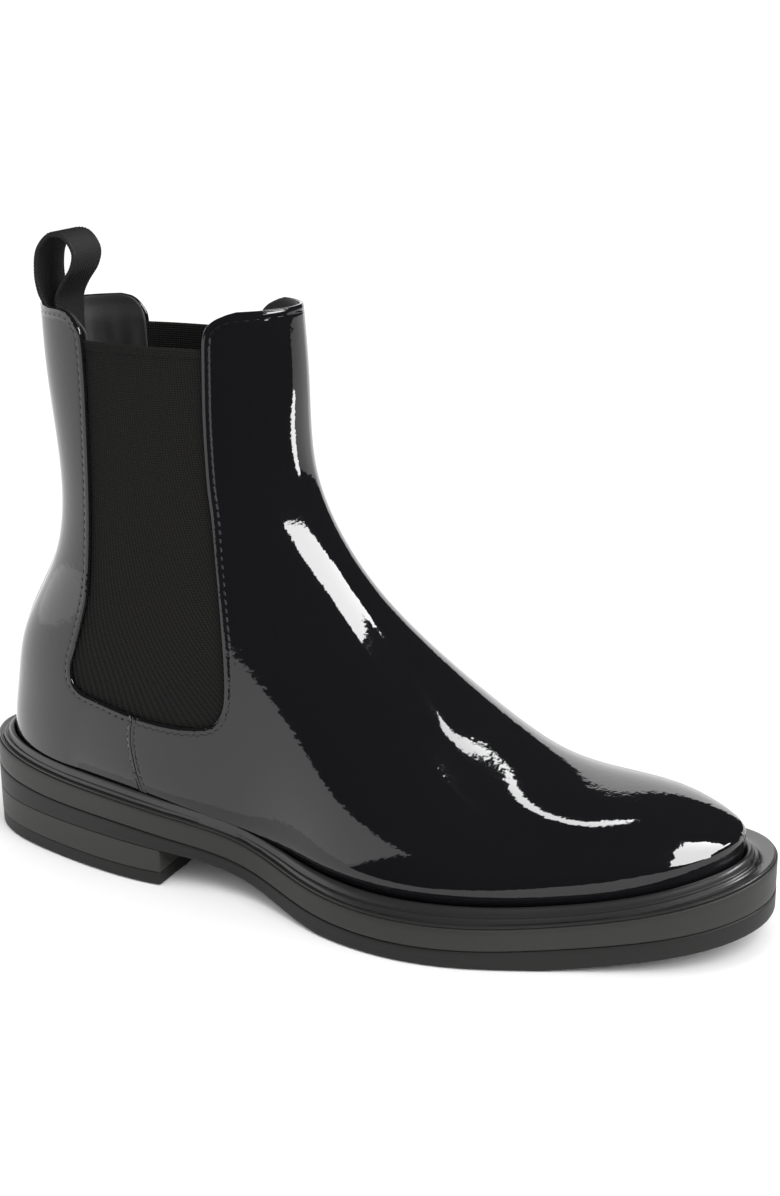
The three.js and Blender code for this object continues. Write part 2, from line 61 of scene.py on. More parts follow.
TOE_SHIFT = 6.4
HEEL_BREAST = (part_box("heel_block")[1].x - HEEL_BACK) / MM
TOP_PIECE_THICKNESS = (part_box("heel_top_piece")[1].z) / MM
SOLE_LATERAL = [(12, 20.8), (35, 31.2), (65, 38.4), (95, 40.3), (125, 38), (155, 50),
                (185, 58), (215, 55.7), (245, 45.6), (270, 37.3), (290, 27.4)]
SOLE_MEDIAL = [(12, 23), (35, 36), (65, 38), (95, 35.5), (125, 34), (155, 38),
               (185, 46), (215, 52), (245, 52), (270, 46), (290, 32.4)]
SOLE_TOP = [(0, 36), (40, 31.2), (78, 29.3), (110, 24), (140, 17.2), (170, 14.4),
            (205, 14.1), (240, 15.5), (275, 21.3), (305, 29.5)]
SOLE_BOTTOM = [(0, 15.4), (40, 14.9), (78, 14.6), (110, 11), (140, 3.2), (165, -0.3),
               (205, -0.8), (235, -0.3), (275, 4.8), (305, 10.6)]
MIDSOLE_THICKNESS = [(0, 10.5), (40, 9), (78, 8.2), (140, 8.1), (205, 7.9), (275, 9.2),
                     (305, 11.5)]
UPPER_BACK = 9
UPPER_TOE = 294.3
UPPER_TOE_SHIFT = 5
WIDEST_ABOVE_FEATHER = 9
FEATHER_TUCK = 0.07
FOOT_LATERAL = [(9, 37), (50, 42), (100, 36.6), (125, 34.5), (150, 42.7), (185, 53.2),
                (215, 54.1), (245, 50.4), (270, 50.4), (297, 51)]
FOOT_MEDIAL = [(9, 37.5), (50, 43), (100, 33), (125, 30.8), (150, 31.5), (185, 41),
               (215, 49), (245, 57), (270, 62.7), (297, 52.1)]
ARCH_HEIGHT = [(60, 49), (110, 69.4), (150, 71.9), (185, 55.9), (220, 28.1), (250, 20.6),
               (275, 15), (300, 5)]
ARCH_RISES_BY = 45
TOE_CAP_START = 207.4
TOE_CAP_POWER = 2
ARCH_WIDTH_POWER = (2.2, 2.7)
ARCH_HEIGHT_POWER = (1.8, 2.3)
SQUARER_FROM = (170, 270)
SHAFT_POWER = 2.2
SHAFT_FRONT = [(30, 149), (80, 156.6), (120, 145.6), (150, 136.4), (180, 134.7), (215, 132.3)]
SHAFT_BACK = [(30, 9), (48, 10), (60, 12), (80, 16.3), (110, 31.5), (150, 36), (180, 32.7),
              (215, 31.5)]
SHAFT_LATERAL = [(30, 33), (70, 34.2), (110, 30.6), (160, 26.4), (215, 25.3)]
SHAFT_MEDIAL = [(30, 33), (70, 34), (110, 30.6), (160, 25.8), (215, 25.1)]
BLEND_AT_HEEL = 0.06
BLEND_AT_INSTEP = 0.6
TOPLINE_HEIGHT = 203.5
TOPLINE_RISE = 0.04
TOPLINE_BACK = 29
FEATHER_ABOVE_SOLE = 3
GUSSET_TOP = 194
GUSSET_REAR_EDGE = [(50, 204.3), (54.5, 203), (58, 199.2), (59.4, 195), (60, 181), (59.8, 160),
                    (59.5, 132), (59, 106), (57.4, 96), (54.6, 85.6), (51.9, 77), (52.4, 70.5),
                    (56.5, 66.8), (62, 65.6), (72, 64.2), (81.6, 62.9)]
GUSSET_FRONT_EDGE = [(81.6, 62.9), (93.5, 62), (104, 62.1), (112.5, 63.6), (116.6, 67.6),
                     (118.2, 74), (117.7, 86), (115.4, 104), (112.7, 122.6), (110.9, 136.4),
                     (108.9, 150), (107.7, 170), (107.7, 190), (108, 198), (109.2, 201.6),
                     (111.8, 204.2), (116, 206.2)]
SIDE_SEAM = [(84.6, 34), (82.4, 43.1), (81.2, 48.6), (80.5, 55.4), (81.6, 62.9)]


# ---- Curves ----

CURVE_STEPS = 24
TINY = 1e-12


def spline(stations):
    """A natural cubic spline through (position, value) stations, as a function of arrays."""
    at, value = np.array(stations, float).T
    step = np.diff(at)
    count = len(at)
    system = np.eye(count)
    right = np.zeros(count)
    for i in range(1, count - 1):
        system[i, i - 1:i + 2] = step[i - 1], 2 * (step[i - 1] + step[i]), step[i]
        right[i] = 6 * ((value[i + 1] - value[i]) / step[i] - (value[i] - value[i - 1]) / step[i - 1])
    bend = np.linalg.solve(system, right)

    def evaluate(x):
        x = np.asarray(x, float)
        k = np.clip(np.searchsorted(at, x) - 1, 0, count - 2)
        t = (x - at[k]) / step[k]
        u = 1 - t
        curve = (u ** 3 - u) * bend[k] + (t ** 3 - t) * bend[k + 1]
        return u * value[k] + t * value[k + 1] + curve * step[k] ** 2 / 6

    return evaluate


def smooth_path(points, spacing):
    """A Catmull-Rom curve through the points, resampled at an even spacing."""
    p = np.array(points, float)
    p = np.vstack([2 * p[0] - p[1], p, 2 * p[-1] - p[-2]])
    t = np.linspace(0, 1, CURVE_STEPS, endpoint=False)[:, None]
    runs = []
    for k in range(len(p) - 3):
        a, b, c, d = p[k:k + 4]
        runs.append(0.5 * (2 * b + (c - a) * t + (2 * a - 5 * b + 4 * c - d) * t ** 2
                           + (3 * b - a - 3 * c + d) * t ** 3))
    return resample(np.vstack(runs + [p[-2:-1]]), spacing)


def resample(points, spacing):
    """The same polyline with its points at an even spacing."""
    run = np.concatenate([[0], np.cumsum(np.linalg.norm(np.diff(points, axis=0), axis=1))])
    count = max(2, int(round(run[-1] / spacing)) + 1)
    at = np.linspace(0, run[-1], count)
    return np.stack([np.interp(at, run, points[:, k]) for k in range(points.shape[1])], axis=1)


def smoothstep(x, low, high):
    t = np.clip((x - low) / (high - low), 0, 1)
    return t * t * (3 - 2 * t)


def between(start, end, share):
    return start * (1 - share) + end * share


def bisect(low, high, is_low, rounds=26):
    """The value in each bracket where is_low(value) changes from true to false."""
    for _ in range(rounds):
        middle = (low + high) / 2
        before = is_low(middle)
        low = np.where(before, middle, low)
        high = np.where(before, high, middle)
    return (low + high) / 2


def slope_of(function, p, step):
    """Gradient of a scalar function of points, by central differences."""
    slope = np.zeros_like(p)
    for axis in range(3):
        shift = np.zeros(3)
        shift[axis] = step
        slope[:, axis] = (function(p + shift) - function(p - shift)) / (2 * step)
    return slope


def unit(vectors):
    return vectors / np.maximum(np.linalg.norm(vectors, axis=-1, keepdims=True), TINY)


def left_of(along):
    """Unit vectors a quarter turn to the left of directions in a plane."""
    return unit(np.stack([-along[:, 1], along[:, 0]], axis=1))


def square_to(vectors, normal):
    """The share of each vector that lies square to its normal."""
    return vectors - normal * np.sum(vectors * normal, axis=1, keepdims=True)


sole_top = spline(SOLE_TOP)
sole_bottom_curve = spline(SOLE_BOTTOM)
midsole_thickness = spline(MIDSOLE_THICKNESS)


def sole_bottom(x):
    return np.maximum(0, sole_bottom_curve(x))


def midsole_bottom(x):
    return sole_top(x) - midsole_thickness(x)


def feather_line(x):
    return sole_top(np.clip(x, 0, SOLE_LENGTH)) + FEATHER_ABOVE_SOLE


def topline(x):
    return TOPLINE_HEIGHT + (x - TOPLINE_BACK) * TOPLINE_RISE


def shape_factor(widths):
    return spline([(x, w / math.sqrt(x * (SOLE_LENGTH - x))) for x, w in widths])


sole_factor = {-1: shape_factor(SOLE_LATERAL), 1: shape_factor(SOLE_MEDIAL)}


# ---- The upper's outer skin ----

foot_lateral = spline(FOOT_LATERAL)
foot_medial = spline(FOOT_MEDIAL)
arch_height = spline(ARCH_HEIGHT)
shaft_front = spline(SHAFT_FRONT)
shaft_back = spline(SHAFT_BACK)
shaft_lateral = spline(SHAFT_LATERAL)
shaft_medial = spline(SHAFT_MEDIAL)


SIDES_MEET_OVER = 6
END_MARGIN = 0.01
FULLEST_CAP = 0.9999
FIELD_PAST_ENDS = 0.02
FIELD_SLOPE_PAST_ENDS = 0.1
BLEND_CHANGES = (40, 110)
NORMAL_STEP = 0.05


def by_side(y, lateral, medial):
    """Runs smoothly from the lateral value to the medial value as y crosses zero."""
    t = y / SIDES_MEET_OVER
    return (medial + lateral) / 2 + (medial - lateral) / 2 * (t / np.sqrt(1 + t * t))


def foot_field(x, y, z):
    outside = np.maximum(UPPER_BACK - x, x - UPPER_TOE)
    xc = np.clip(x, UPPER_BACK + END_MARGIN, UPPER_TOE - END_MARGIN)
    y_centred = y - UPPER_TOE_SHIFT * (xc / UPPER_TOE) ** 2
    above = z - feather_line(xc) - WIDEST_ABOVE_FEATHER
    tuck = 1 - FEATHER_TUCK * (np.maximum(-above, 0) / WIDEST_ABOVE_FEATHER) ** 2
    factor = by_side(y_centred, foot_lateral(xc), foot_medial(xc))
    half_width = factor * 2 * np.sqrt((xc - UPPER_BACK) * (UPPER_TOE - xc)) * tuck
    half_width /= UPPER_TOE - UPPER_BACK
    into_cap = np.clip((xc - TOE_CAP_START) / (UPPER_TOE - TOE_CAP_START), 0, FULLEST_CAP)
    closing = (1 - into_cap ** TOE_CAP_POWER) ** (1 / TOE_CAP_POWER)
    rising = smoothstep(xc, UPPER_BACK, ARCH_RISES_BY)
    height = np.maximum(np.maximum(arch_height(xc), 1) * closing * rising, 1)
    squareness = smoothstep(x, *SQUARER_FROM)
    width_power = between(*ARCH_WIDTH_POWER, squareness)
    height_power = between(*ARCH_HEIGHT_POWER, squareness)
    across = (np.abs(y_centred) / half_width) ** width_power
    up = (np.maximum(above, 0) / height) ** height_power
    inside = (across + up + TINY) ** (2 / (width_power + height_power)) - 1
    past_ends = FIELD_PAST_ENDS + outside * FIELD_SLOPE_PAST_ENDS
    return np.where(outside >= -END_MARGIN, past_ends, inside)


def shaft_field(x, y, z):
    front = shaft_front(z)
    back = shaft_back(z)
    half_width = by_side(y, shaft_lateral(z), shaft_medial(z))
    across = (np.abs(y) / half_width) ** SHAFT_POWER
    along = (np.abs(x - (front + back) / 2) / ((front - back) / 2)) ** SHAFT_POWER
    return (across + along + TINY) ** (1 / SHAFT_POWER) - 1


def upper_field(x, y, z):
    """Negative inside the upper, positive outside, with a fillet where the shaft meets the instep."""
    foot = foot_field(x, y, z)
    shaft = shaft_field(x, y, z)
    blend = BLEND_AT_HEEL + (BLEND_AT_INSTEP - BLEND_AT_HEEL) * smoothstep(x, *BLEND_CHANGES)
    near = np.maximum(0, 1 - np.abs(foot - shaft) / blend)
    return np.minimum(foot, shaft) - near * near * blend / 4


# Rays run out to the skin from a line of centres that climbs from the instep into the shaft.
ring_centre = spline([(0, 150), (0.16, 145), (0.32, 112), (0.56, 86), (1, 80)])
ring_half_length = spline([(0, 146), (0.16, 138), (0.32, 106), (0.56, 72), (1, 50)])
RING_HALF_WIDTH = 38
RAY_RANGE = (0.2, 1.9)
RAY_ROUNDS = 22
WIDEST = 80.0


def skin(angle, level):
    """Points on the outer skin. Level 0 is the feather line and level 1 the topline."""
    centre = ring_centre(level)
    along_x = np.cos(angle) * ring_half_length(level)
    along_y = np.sin(angle) * RING_HALF_WIDTH

    def place(reach):
        x = centre + along_x * reach
        return x, along_y * reach, between(feather_line(x), topline(x), level)

    low, high = np.multiply.outer(RAY_RANGE, np.ones(np.shape(angle)))
    reach = bisect(low, high, lambda r: upper_field(*place(r)) < 0, RAY_ROUNDS)
    return np.stack(place(reach), axis=-1)


def skin_normal(p):
    return unit(slope_of(lambda q: upper_field(*q.T), p, NORMAL_STEP))


def on_skin_from_side(x, z, side):
    """The skin's points at places given in side view, on one side of the boot."""
    far = np.full(len(x), WIDEST)
    across = bisect(np.zeros(len(x)), far, lambda y: upper_field(x, side * y, z) < 0)
    return np.stack([x, side * across, z], axis=-1)


# ---- Side-view outlines ----

LINE_SPACING = 1.0
REAR_EDGE = smooth_path(GUSSET_REAR_EDGE, LINE_SPACING)
FRONT_EDGE = smooth_path(GUSSET_FRONT_EDGE, LINE_SPACING)
SEAM = smooth_path(SIDE_SEAM, LINE_SPACING)
SEAM_FOOT = (SIDE_SEAM[0][0], 0)
LEFT = -40
RIGHT = 330
CLEAR_ABOVE = 230
REAR_CORNER = 46
FRONT_CORNER = 119


def topline_run(start, end):
    return np.array([(start, topline(start)), (end, topline(end))])


QUARTER_OUTLINE = np.vstack([topline_run(LEFT, REAR_CORNER), REAR_EDGE, SEAM[::-1],
                             [SEAM_FOOT, (LEFT, 0)]])
VAMP_OUTLINE = np.vstack([FRONT_EDGE, topline_run(FRONT_CORNER, RIGHT), [(RIGHT, 0), SEAM_FOOT], SEAM])
GUSSET_OUTLINE = np.vstack([REAR_EDGE[::-1], [(GUSSET_REAR_EDGE[0][0], CLEAR_ABOVE)],
                            [(GUSSET_FRONT_EDGE[-1][0], CLEAR_ABOVE)], FRONT_EDGE[::-1]])


def polyline_distance(line, p):
    """Distance in side view to an open polyline, and the run along it at the nearest place."""
    x, _, z = p.T
    best = np.full(len(x), math.inf)
    run = np.zeros(len(x))
    start = 0.0
    for a, b in zip(line[:-1], line[1:]):
        side = b - a
        length = max(math.hypot(*side), TINY)
        t = np.clip(((x - a[0]) * side[0] + (z - a[1]) * side[1]) / length ** 2, 0, 1)
        d = (x - a[0] - t * side[0]) ** 2 + (z - a[1] - t * side[1]) ** 2
        run = np.where(d < best, start + t * length, run)
        best = np.minimum(best, d)
        start += length
    return np.sqrt(best), run


def outline_distance(outline, p):
    """Signed distance in side view to a closed outline, negative inside."""
    x, _, z = p.T
    closed = np.vstack([outline, outline[:1]])
    inside = np.zeros(len(x), bool)
    for a, b in zip(closed[:-1], closed[1:]):
        spans = (a[1] > z) != (b[1] > z)
        rise = b[1] - a[1] if abs(b[1] - a[1]) > TINY else TINY
        inside ^= spans & (x - a[0] < (z - a[1]) * (b[0] - a[0]) / rise)
    return np.where(inside, -1, 1) * polyline_distance(closed, p)[0]


def to_row(points):
    """From the millimetres used here to the row frame in metres."""
    return np.asarray(points) * MM + np.array([HEEL_BACK, 0, 0])


# ---- Meshes ----

def placed(name, data):
    obj = bpy.data.objects.new(name, data)
    bpy.context.scene.collection.objects.link(obj)
    return obj


def new_object(name, points, faces, uv=None):
    """A smooth-shaded mesh object from millimetre points. uv holds one (u, v) per point."""
    mesh = bpy.data.meshes.new(name)
    mesh.from_pydata(to_row(points).tolist(), [], [tuple(f) for f in faces])
    bm = bmesh.new()
    bm.from_mesh(mesh)
    bmesh.ops.recalc_face_normals(bm, faces=bm.faces)
    bm.to_mesh(mesh)
    bm.free()
    mesh.polygons.foreach_set("use_smooth", [True] * len(mesh.polygons))
    if uv is not None:
        layer = mesh.uv_layers.new(name="surface")
        corner = np.empty(len(mesh.loops), int)
        mesh.loops.foreach_get("vertex_index", corner)
        layer.data.foreach_set("uv", np.asarray(uv, float)[corner].ravel())
    return placed(name, mesh)


def set_normals(obj, normals, known):
    """Shades the known vertices with exact normals and the others with the mesh's own."""
    own = np.empty(len(obj.data.vertices) * 3)
    obj.data.vertices.foreach_get("normal", own)
    own = own.reshape(-1, 3)
    own[known] = normals[known]
    obj.data.normals_split_custom_set_from_vertices(own.tolist())


def grid_faces(rows, columns, closed_rows=False, closed_columns=False):
    """Quads of a grid of points held row by row."""
    faces = []
    for r in range(rows if closed_rows else rows - 1):
        for c in range(columns if closed_columns else columns - 1):
            r2 = (r + 1) % rows
            c2 = (c + 1) % columns
            faces.append([r * columns + c, r * columns + c2, r2 * columns + c2, r2 * columns + c])
    return faces


CUT_ROUNDS = 9


def clipped_grid(angles, levels, field):
    """A grid in (angle, level), cut where field(points) is zero. Returns its vertices and faces."""
    grid_a, grid_l = np.meshgrid(angles, levels)
    rows, columns = grid_a.shape
    flat = np.stack([grid_a.ravel(), grid_l.ravel()], axis=1)
    value = field(skin(*flat.T))
    inside = (value < 0).reshape(rows, columns)
    corner = np.arange(rows * columns).reshape(rows, columns)
    quads = np.stack([corner[:-1, :-1], corner[:-1, 1:], corner[1:, 1:], corner[1:, :-1]], axis=-1)
    count = (inside[:-1, :-1].astype(int) + inside[:-1, 1:] + inside[1:, 1:] + inside[1:, :-1])
    faces = [list(q) for q in quads[count == 4]]
    mixed = quads[(count > 0) & (count < 4)]
    cuts = {}
    for quad in mixed:
        for a, b in zip(quad, np.roll(quad, -1)):
            if (value[a] < 0) != (value[b] < 0):
                cuts.setdefault((min(a, b), max(a, b)), len(cuts))
    edges = np.array(list(cuts), int).reshape(-1, 2)
    start_inside = value[edges[:, 0]] < 0

    def along_edges(share):
        return between(flat[edges[:, 0]], flat[edges[:, 1]], share[:, None])

    def before_cut(share):
        return (field(skin(*along_edges(share).T)) < 0) == start_inside

    new = along_edges(bisect(np.zeros(len(edges)), np.ones(len(edges)), before_cut, CUT_ROUNDS))
    for quad in mixed:
        polygon = []
        for a, b in zip(quad, np.roll(quad, -1)):
            if value[a] < 0:
                polygon.append(a)
            if (value[a] < 0) != (value[b] < 0):
                polygon.append(len(flat) + cuts[(min(a, b), max(a, b))])
        faces.append(polygon)
    every = np.vstack([flat, new])
    used = np.unique(np.concatenate([np.asarray(f) for f in faces]))
    renumber = np.full(len(every), -1)
    renumber[used] = np.arange(len(used))
    return every[used], [[int(renumber[v]) for v in f] for f in faces]


# Roughly how many millimetres a radian and the whole of the levels span on the skin.
ANGLE_SCALE = 40.0
LEVEL_SCALE = 180.0
MERGE_WITHIN = 0.05


def refined(flat, faces, near_edge, cuts):
    """Subdivides the faces where near_edge is true of the corners."""
    bm = bmesh.new()
    verts = [bm.verts.new((a * ANGLE_SCALE, level * LEVEL_SCALE, 0)) for a, level in flat]
    for f in faces:
        if len(set(f)) > 2:
            bm.faces.new([verts[i] for i in f])
    bmesh.ops.remove_doubles(bm, verts=bm.verts[:], dist=MERGE_WITHIN)
    bm.verts.ensure_lookup_table()
    bm.verts.index_update()
    co = np.array([v.co[:2] for v in bm.verts])
    near = near_edge(co / (ANGLE_SCALE, LEVEL_SCALE))
    edges = [e for e in bm.edges if near[e.verts[0].index] and near[e.verts[1].index]]
    bmesh.ops.subdivide_edges(bm, edges=edges, cuts=cuts, use_grid_fill=True)
    bm.verts.index_update()
    co = np.array([v.co[:2] for v in bm.verts]) / (ANGLE_SCALE, LEVEL_SCALE)
    result = [[v.index for v in f.verts] for f in bm.faces]
    bm.free()
    return co, result


def boundary_edges(faces):
    """Directed edges that belong to one face only."""
    seen = {}
    for f in faces:
        for a, b in zip(f, f[1:] + f[:1]):
            if (b, a) in seen:
                del seen[(b, a)]
            else:
                seen[(a, b)] = True
    return list(seen)


def flush(p):
    return np.zeros(len(p))


RIM_STEPS = 5
REFINE_REACH = 4.6
RELIEF_STEP = 0.12
EDGE_STEP = 0.1


def panel(name, angles, levels, field, depth, thickness, relief=flush, refine=0,
          reach=REFINE_REACH, bulge=None):
    """A sheet of the upper: the skin cut to an outline, given a thickness and a rounded edge.

    field(points) is the signed distance to the panel's edge, depth(points) how far under the skin the
    sheet lies, relief(points) how far its outer face stands proud of that, and bulge(points) how round
    the edge is, from 0 to 1. Faces nearer than reach to the edge are cut refine times.
    """
    flat, faces = clipped_grid(angles, levels, field)
    if refine:
        flat, faces = refined(flat, faces, lambda c: field(skin(*c.T)) > -reach, refine)
    on = skin(*flat.T)
    normal = skin_normal(on)
    sunk = depth(on)
    proud = relief(on)
    outer = on + normal * (proud - sunk)[:, None]
    inner = on - normal * (sunk + thickness)[:, None]
    tilt = slope_of(lambda p: relief(p) - depth(p), on, RELIEF_STEP)
    faced = unit(normal - square_to(tilt, normal))
    rim = boundary_edges(faces)
    rim_points = sorted({v for e in rim for v in e})
    at = {v: k for k, v in enumerate(rim_points)}
    base = on[rim_points]
    outward = unit(square_to(slope_of(field, base, EDGE_STEP), normal[rim_points]))
    roundness = bulge(base)[:, None] if bulge else 1
    rows = []
    for k in range(1, RIM_STEPS):
        turn = math.pi * k / RIM_STEPS
        sink = (1 - math.cos(turn)) / 2
        across = between(outer[rim_points], inner[rim_points], sink)
        rows.append(across + outward * math.sin(turn) * roundness * thickness / 2)
    count = len(on)
    points = np.vstack([outer, inner] + rows)
    all_faces = [list(f) for f in faces] + [[v + count for v in reversed(f)] for f in faces]
    ring = 2 * count
    for a, b in rim:
        down_a, down_b = (
            [v] + [ring + k * len(rim_points) + at[v] for k in range(RIM_STEPS - 1)] + [v + count]
            for v in (a, b))
        for k in range(RIM_STEPS):
            all_faces.append([down_b[k], down_a[k], down_a[k + 1], down_b[k + 1]])
    uv = np.stack([flat[:, 0] * ANGLE_SCALE, on[:, 2]], axis=1)
    uv = np.vstack([uv, uv] + [uv[rim_points]] * (RIM_STEPS - 1))
    obj = new_object(name, points, all_faces, uv)
    known = np.zeros(len(points), bool)
    known[:count] = True
    known[rim_points] = False
    exact = np.zeros_like(points)
    exact[:count] = faced
    set_normals(obj, exact, known)
    return obj


THREAD_RADIUS = 0.2
THREAD_TIP = 0.62
THREAD_SIDES = 6
THREAD_STEPS = 6


def threads(name, starts, middles, ends):
    """Short threads, each a tube that rises from its start over its middle to its end."""
    points = []
    faces = []
    turn = 2 * np.pi * np.arange(THREAD_SIDES) / THREAD_SIDES
    for a, m, b in zip(starts, middles, ends):
        t = np.linspace(0, 1, THREAD_STEPS)[:, None]
        arc = a * (1 - t) ** 2 + 2 * m * t * (1 - t) + b * t ** 2
        along = unit(b - a)
        up = m - (a + b) / 2
        up = unit(up - along * (up @ along))
        side = np.cross(along, up)
        base = len(points)
        for k, centre in enumerate(arc):
            width = THREAD_RADIUS * (THREAD_TIP if k in (0, THREAD_STEPS - 1) else 1)
            for angle in turn:
                points.append(centre + (side * math.cos(angle) + up * math.sin(angle)) * width)
        for f in grid_faces(THREAD_STEPS, THREAD_SIDES, closed_columns=True):
            faces.append([v + base for v in f])
        last = base + (THREAD_STEPS - 1) * THREAD_SIDES
        faces.append([base + k for k in range(THREAD_SIDES)])
        faces.append([last + k for k in reversed(range(THREAD_SIDES))])
    return new_object(name, np.array(points), faces)


# ---- Upper ----

LEATHER_THICKNESS = 1.6
SEAM_GAP = 0.06
STITCH_FROM_EDGE = 2.1
SEAM_ROW_OFFSET = 1.5
BACK_ROW_OFFSET = 1.7
BACK_SEAM_SHIFT = 5.5
BACK_SEAM_HEIGHT = 0.7
BACK_SEAM_WIDTH = 0.7
BACK_REGION = 50
STITCH_PITCH = 3.0
STITCH_LENGTH = 2.2
SEAM_PITCH = STITCH_PITCH * 0.8
HOLE_SHARE = 0.45
ROW_GROOVE = (0.13, 0.5)
SEAM_GROOVE = (0.12, 0.4)
BACK_GROOVE = (0.1, 0.45)
CUT_EDGE_DROP = (0.18, 0.45)
SEAM_STEP = (0.22, 0.9, 1.6)
SEAM_VALLEY = (0.1, 0.22)
THREAD_SINK = 0.26
THREAD_LIFT = 0.24
BACK_STITCHES_FROM = 40
BACK_STITCHES_TO = topline(32) - 3
BACK_IS_WITHIN = 60.0


def offset_line(line, by):
    """A polyline moved sideways: positive to the left of its direction."""
    return line + left_of(np.gradient(line, axis=0)) * by


def edge_row(line):
    return resample(offset_line(resample(line, LINE_SPACING), -STITCH_FROM_EDGE), STITCH_PITCH)


ROW_BACK = 30
ROW_FRONT = 135
REAR_LINE = np.vstack([[(ROW_BACK, topline(ROW_BACK))], REAR_EDGE])
FRONT_LINE = np.vstack([FRONT_EDGE, [(ROW_FRONT, topline(ROW_FRONT))]])
REAR_ROW = edge_row(REAR_LINE)
FRONT_ROW = edge_row(FRONT_LINE)
SEAM_REAR_ROW = resample(offset_line(SEAM, SEAM_ROW_OFFSET), SEAM_PITCH)
SEAM_FRONT_ROW = resample(offset_line(SEAM, -SEAM_ROW_OFFSET), SEAM_PITCH)


def ridge(distance, width):
    return np.exp(-(distance / width) ** 2)


def needle_holes(distance, run, pitch, depth, width):
    """A shallow channel along a row of stitches, deepest at each needle hole."""
    holes = 0.5 + 0.5 * np.cos(2 * np.pi * run / pitch)
    return -depth * ridge(distance, width) * (1 - HOLE_SHARE + HOLE_SHARE * holes)


def panel_relief(p, edge_line, edge_stitches, seam_stitches):
    """Stitch grooves, the raised side seam and the pressed edge that both leathers share."""
    row = needle_holes(*polyline_distance(edge_stitches, p), STITCH_PITCH, *ROW_GROOVE)
    seam_row = needle_holes(*polyline_distance(seam_stitches, p), SEAM_PITCH, *SEAM_GROOVE)
    from_seam, _ = polyline_distance(SEAM, p)
    height, inner, outer = SEAM_STEP
    raised = height * (1 - smoothstep(from_seam, inner, outer))
    valley = SEAM_VALLEY[0] * ridge(from_seam, SEAM_VALLEY[1])
    from_edge, _ = polyline_distance(edge_line, p)
    return row + seam_row + raised - valley - CUT_EDGE_DROP[0] * ridge(from_edge, CUT_EDGE_DROP[1])


def rear_relief(p):
    back = np.where(p[:, 0] < BACK_REGION, np.abs(p[:, 1] + BACK_SEAM_SHIFT), BACK_REGION)
    return (panel_relief(p, REAR_LINE, REAR_ROW, SEAM_REAR_ROW)
            + needle_holes(back - BACK_ROW_OFFSET, p[:, 2], STITCH_PITCH, *BACK_GROOVE)
            + BACK_SEAM_HEIGHT * ridge(back, BACK_SEAM_WIDTH))


def front_relief(p):
    return panel_relief(p, FRONT_LINE, FRONT_ROW, SEAM_FRONT_ROW)


SEAM_EDGE_BULGE = 0.06
BACK_EDGE_BULGE = 0.35
FREE_EDGE_BULGE = 0.45
SEAM_EDGE_WITHIN = 0.6
BACK_EDGE_WITHIN = 0.4
FEATHER_EDGE_WITHIN = 1
TUCKED_BELOW_FEATHER = 0.2


def edge_bulge(p):
    """Edges that meet another leather or the welt stay nearly square, and free edges are rounder."""
    x, y, z = p.T
    seam, _ = polyline_distance(SEAM, p)
    joined = (seam < SEAM_EDGE_WITHIN) | (z < feather_line(x) + FEATHER_EDGE_WITHIN)
    on_back_seam = (np.abs(y + BACK_SEAM_SHIFT) < BACK_EDGE_WITHIN) & (x < BACK_REGION)
    back = on_back_seam & (z < topline(x) - BACK_EDGE_WITHIN)
    return np.where(joined, SEAM_EDGE_BULGE, np.where(back, BACK_EDGE_BULGE, FREE_EDGE_BULGE))


def vamp_field(p):
    below_feather = feather_line(p[:, 0]) - TUCKED_BELOW_FEATHER - p[:, 2]
    return np.maximum(outline_distance(VAMP_OUTLINE, p) + SEAM_GAP / 2, below_feather)


def quarter_field(side):
    def field(p):
        d = outline_distance(QUARTER_OUTLINE, p)
        return np.maximum(d + SEAM_GAP / 2, SEAM_GAP - side * (p[:, 1] + BACK_SEAM_SHIFT))
    return field


# The front pieces span these angles either way from the toe, and the rear ones go on round the heel.
FRONT_ANGLE = 2.5
REAR_ANGLE = 1.2
QUARTER_PAST_BACK = 0.35
LEVELS_END = 1.02
SIDES = ((-1, "lateral"), (1, "medial"))
# How finely a sheet is divided: round the boot, up it, and again near its edge.
VAMP_GRID = (320, 122, 3)
QUARTER_GRID = (122, 122, 3)


def front_angles(count):
    return np.linspace(-FRONT_ANGLE, FRONT_ANGLE, count)


def rear_angles(count, start=REAR_ANGLE):
    return np.linspace(start, 2 * math.pi - start, count)


def fixed(obj, node, look):
    """Lets a piece stand still in place of a CAD node."""
    return finish(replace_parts(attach(obj, "root"), node), look)


def with_back(obj):
    """Bakes a piece's placement into its mesh."""
    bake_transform(obj)
    return obj


def make_leather():
    columns, rows, refine = VAMP_GRID
    vamp = panel("vamp_leather", front_angles(columns), np.linspace(0, LEVELS_END, rows), vamp_field,
                 flush, LEATHER_THICKNESS, front_relief, refine, bulge=edge_bulge)
    fixed(vamp, "vamp", "patent_leather")
    columns, rows, refine = QUARTER_GRID
    for side, word in SIDES:
        around = np.linspace(REAR_ANGLE, math.pi + QUARTER_PAST_BACK, columns) * side
        quarter = panel(f"quarter_leather_{word}", around, np.linspace(0, LEVELS_END, rows),
                        quarter_field(side), flush, LEATHER_THICKNESS, rear_relief, refine,
                        bulge=edge_bulge)
        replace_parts(quarter, f"quarter_{word}_shaft", f"quarter_{word}_heel")
        with_back(finish(quarter, "patent_leather"))


def stitches(name, places, relief):
    """Stitches whose start, middle and end are places(share) on the skin, in shares of the pitch."""
    half = STITCH_LENGTH / STITCH_PITCH / 2
    ends = []
    for share, lift in ((0.5 - half, -THREAD_SINK), (0.5, THREAD_LIFT), (0.5 + half, -THREAD_SINK)):
        on = places(share)
        ends.append(on + skin_normal(on) * (relief(on) + lift)[:, None])
    return finish(threads(name, *ends), "patent_leather", "thread")


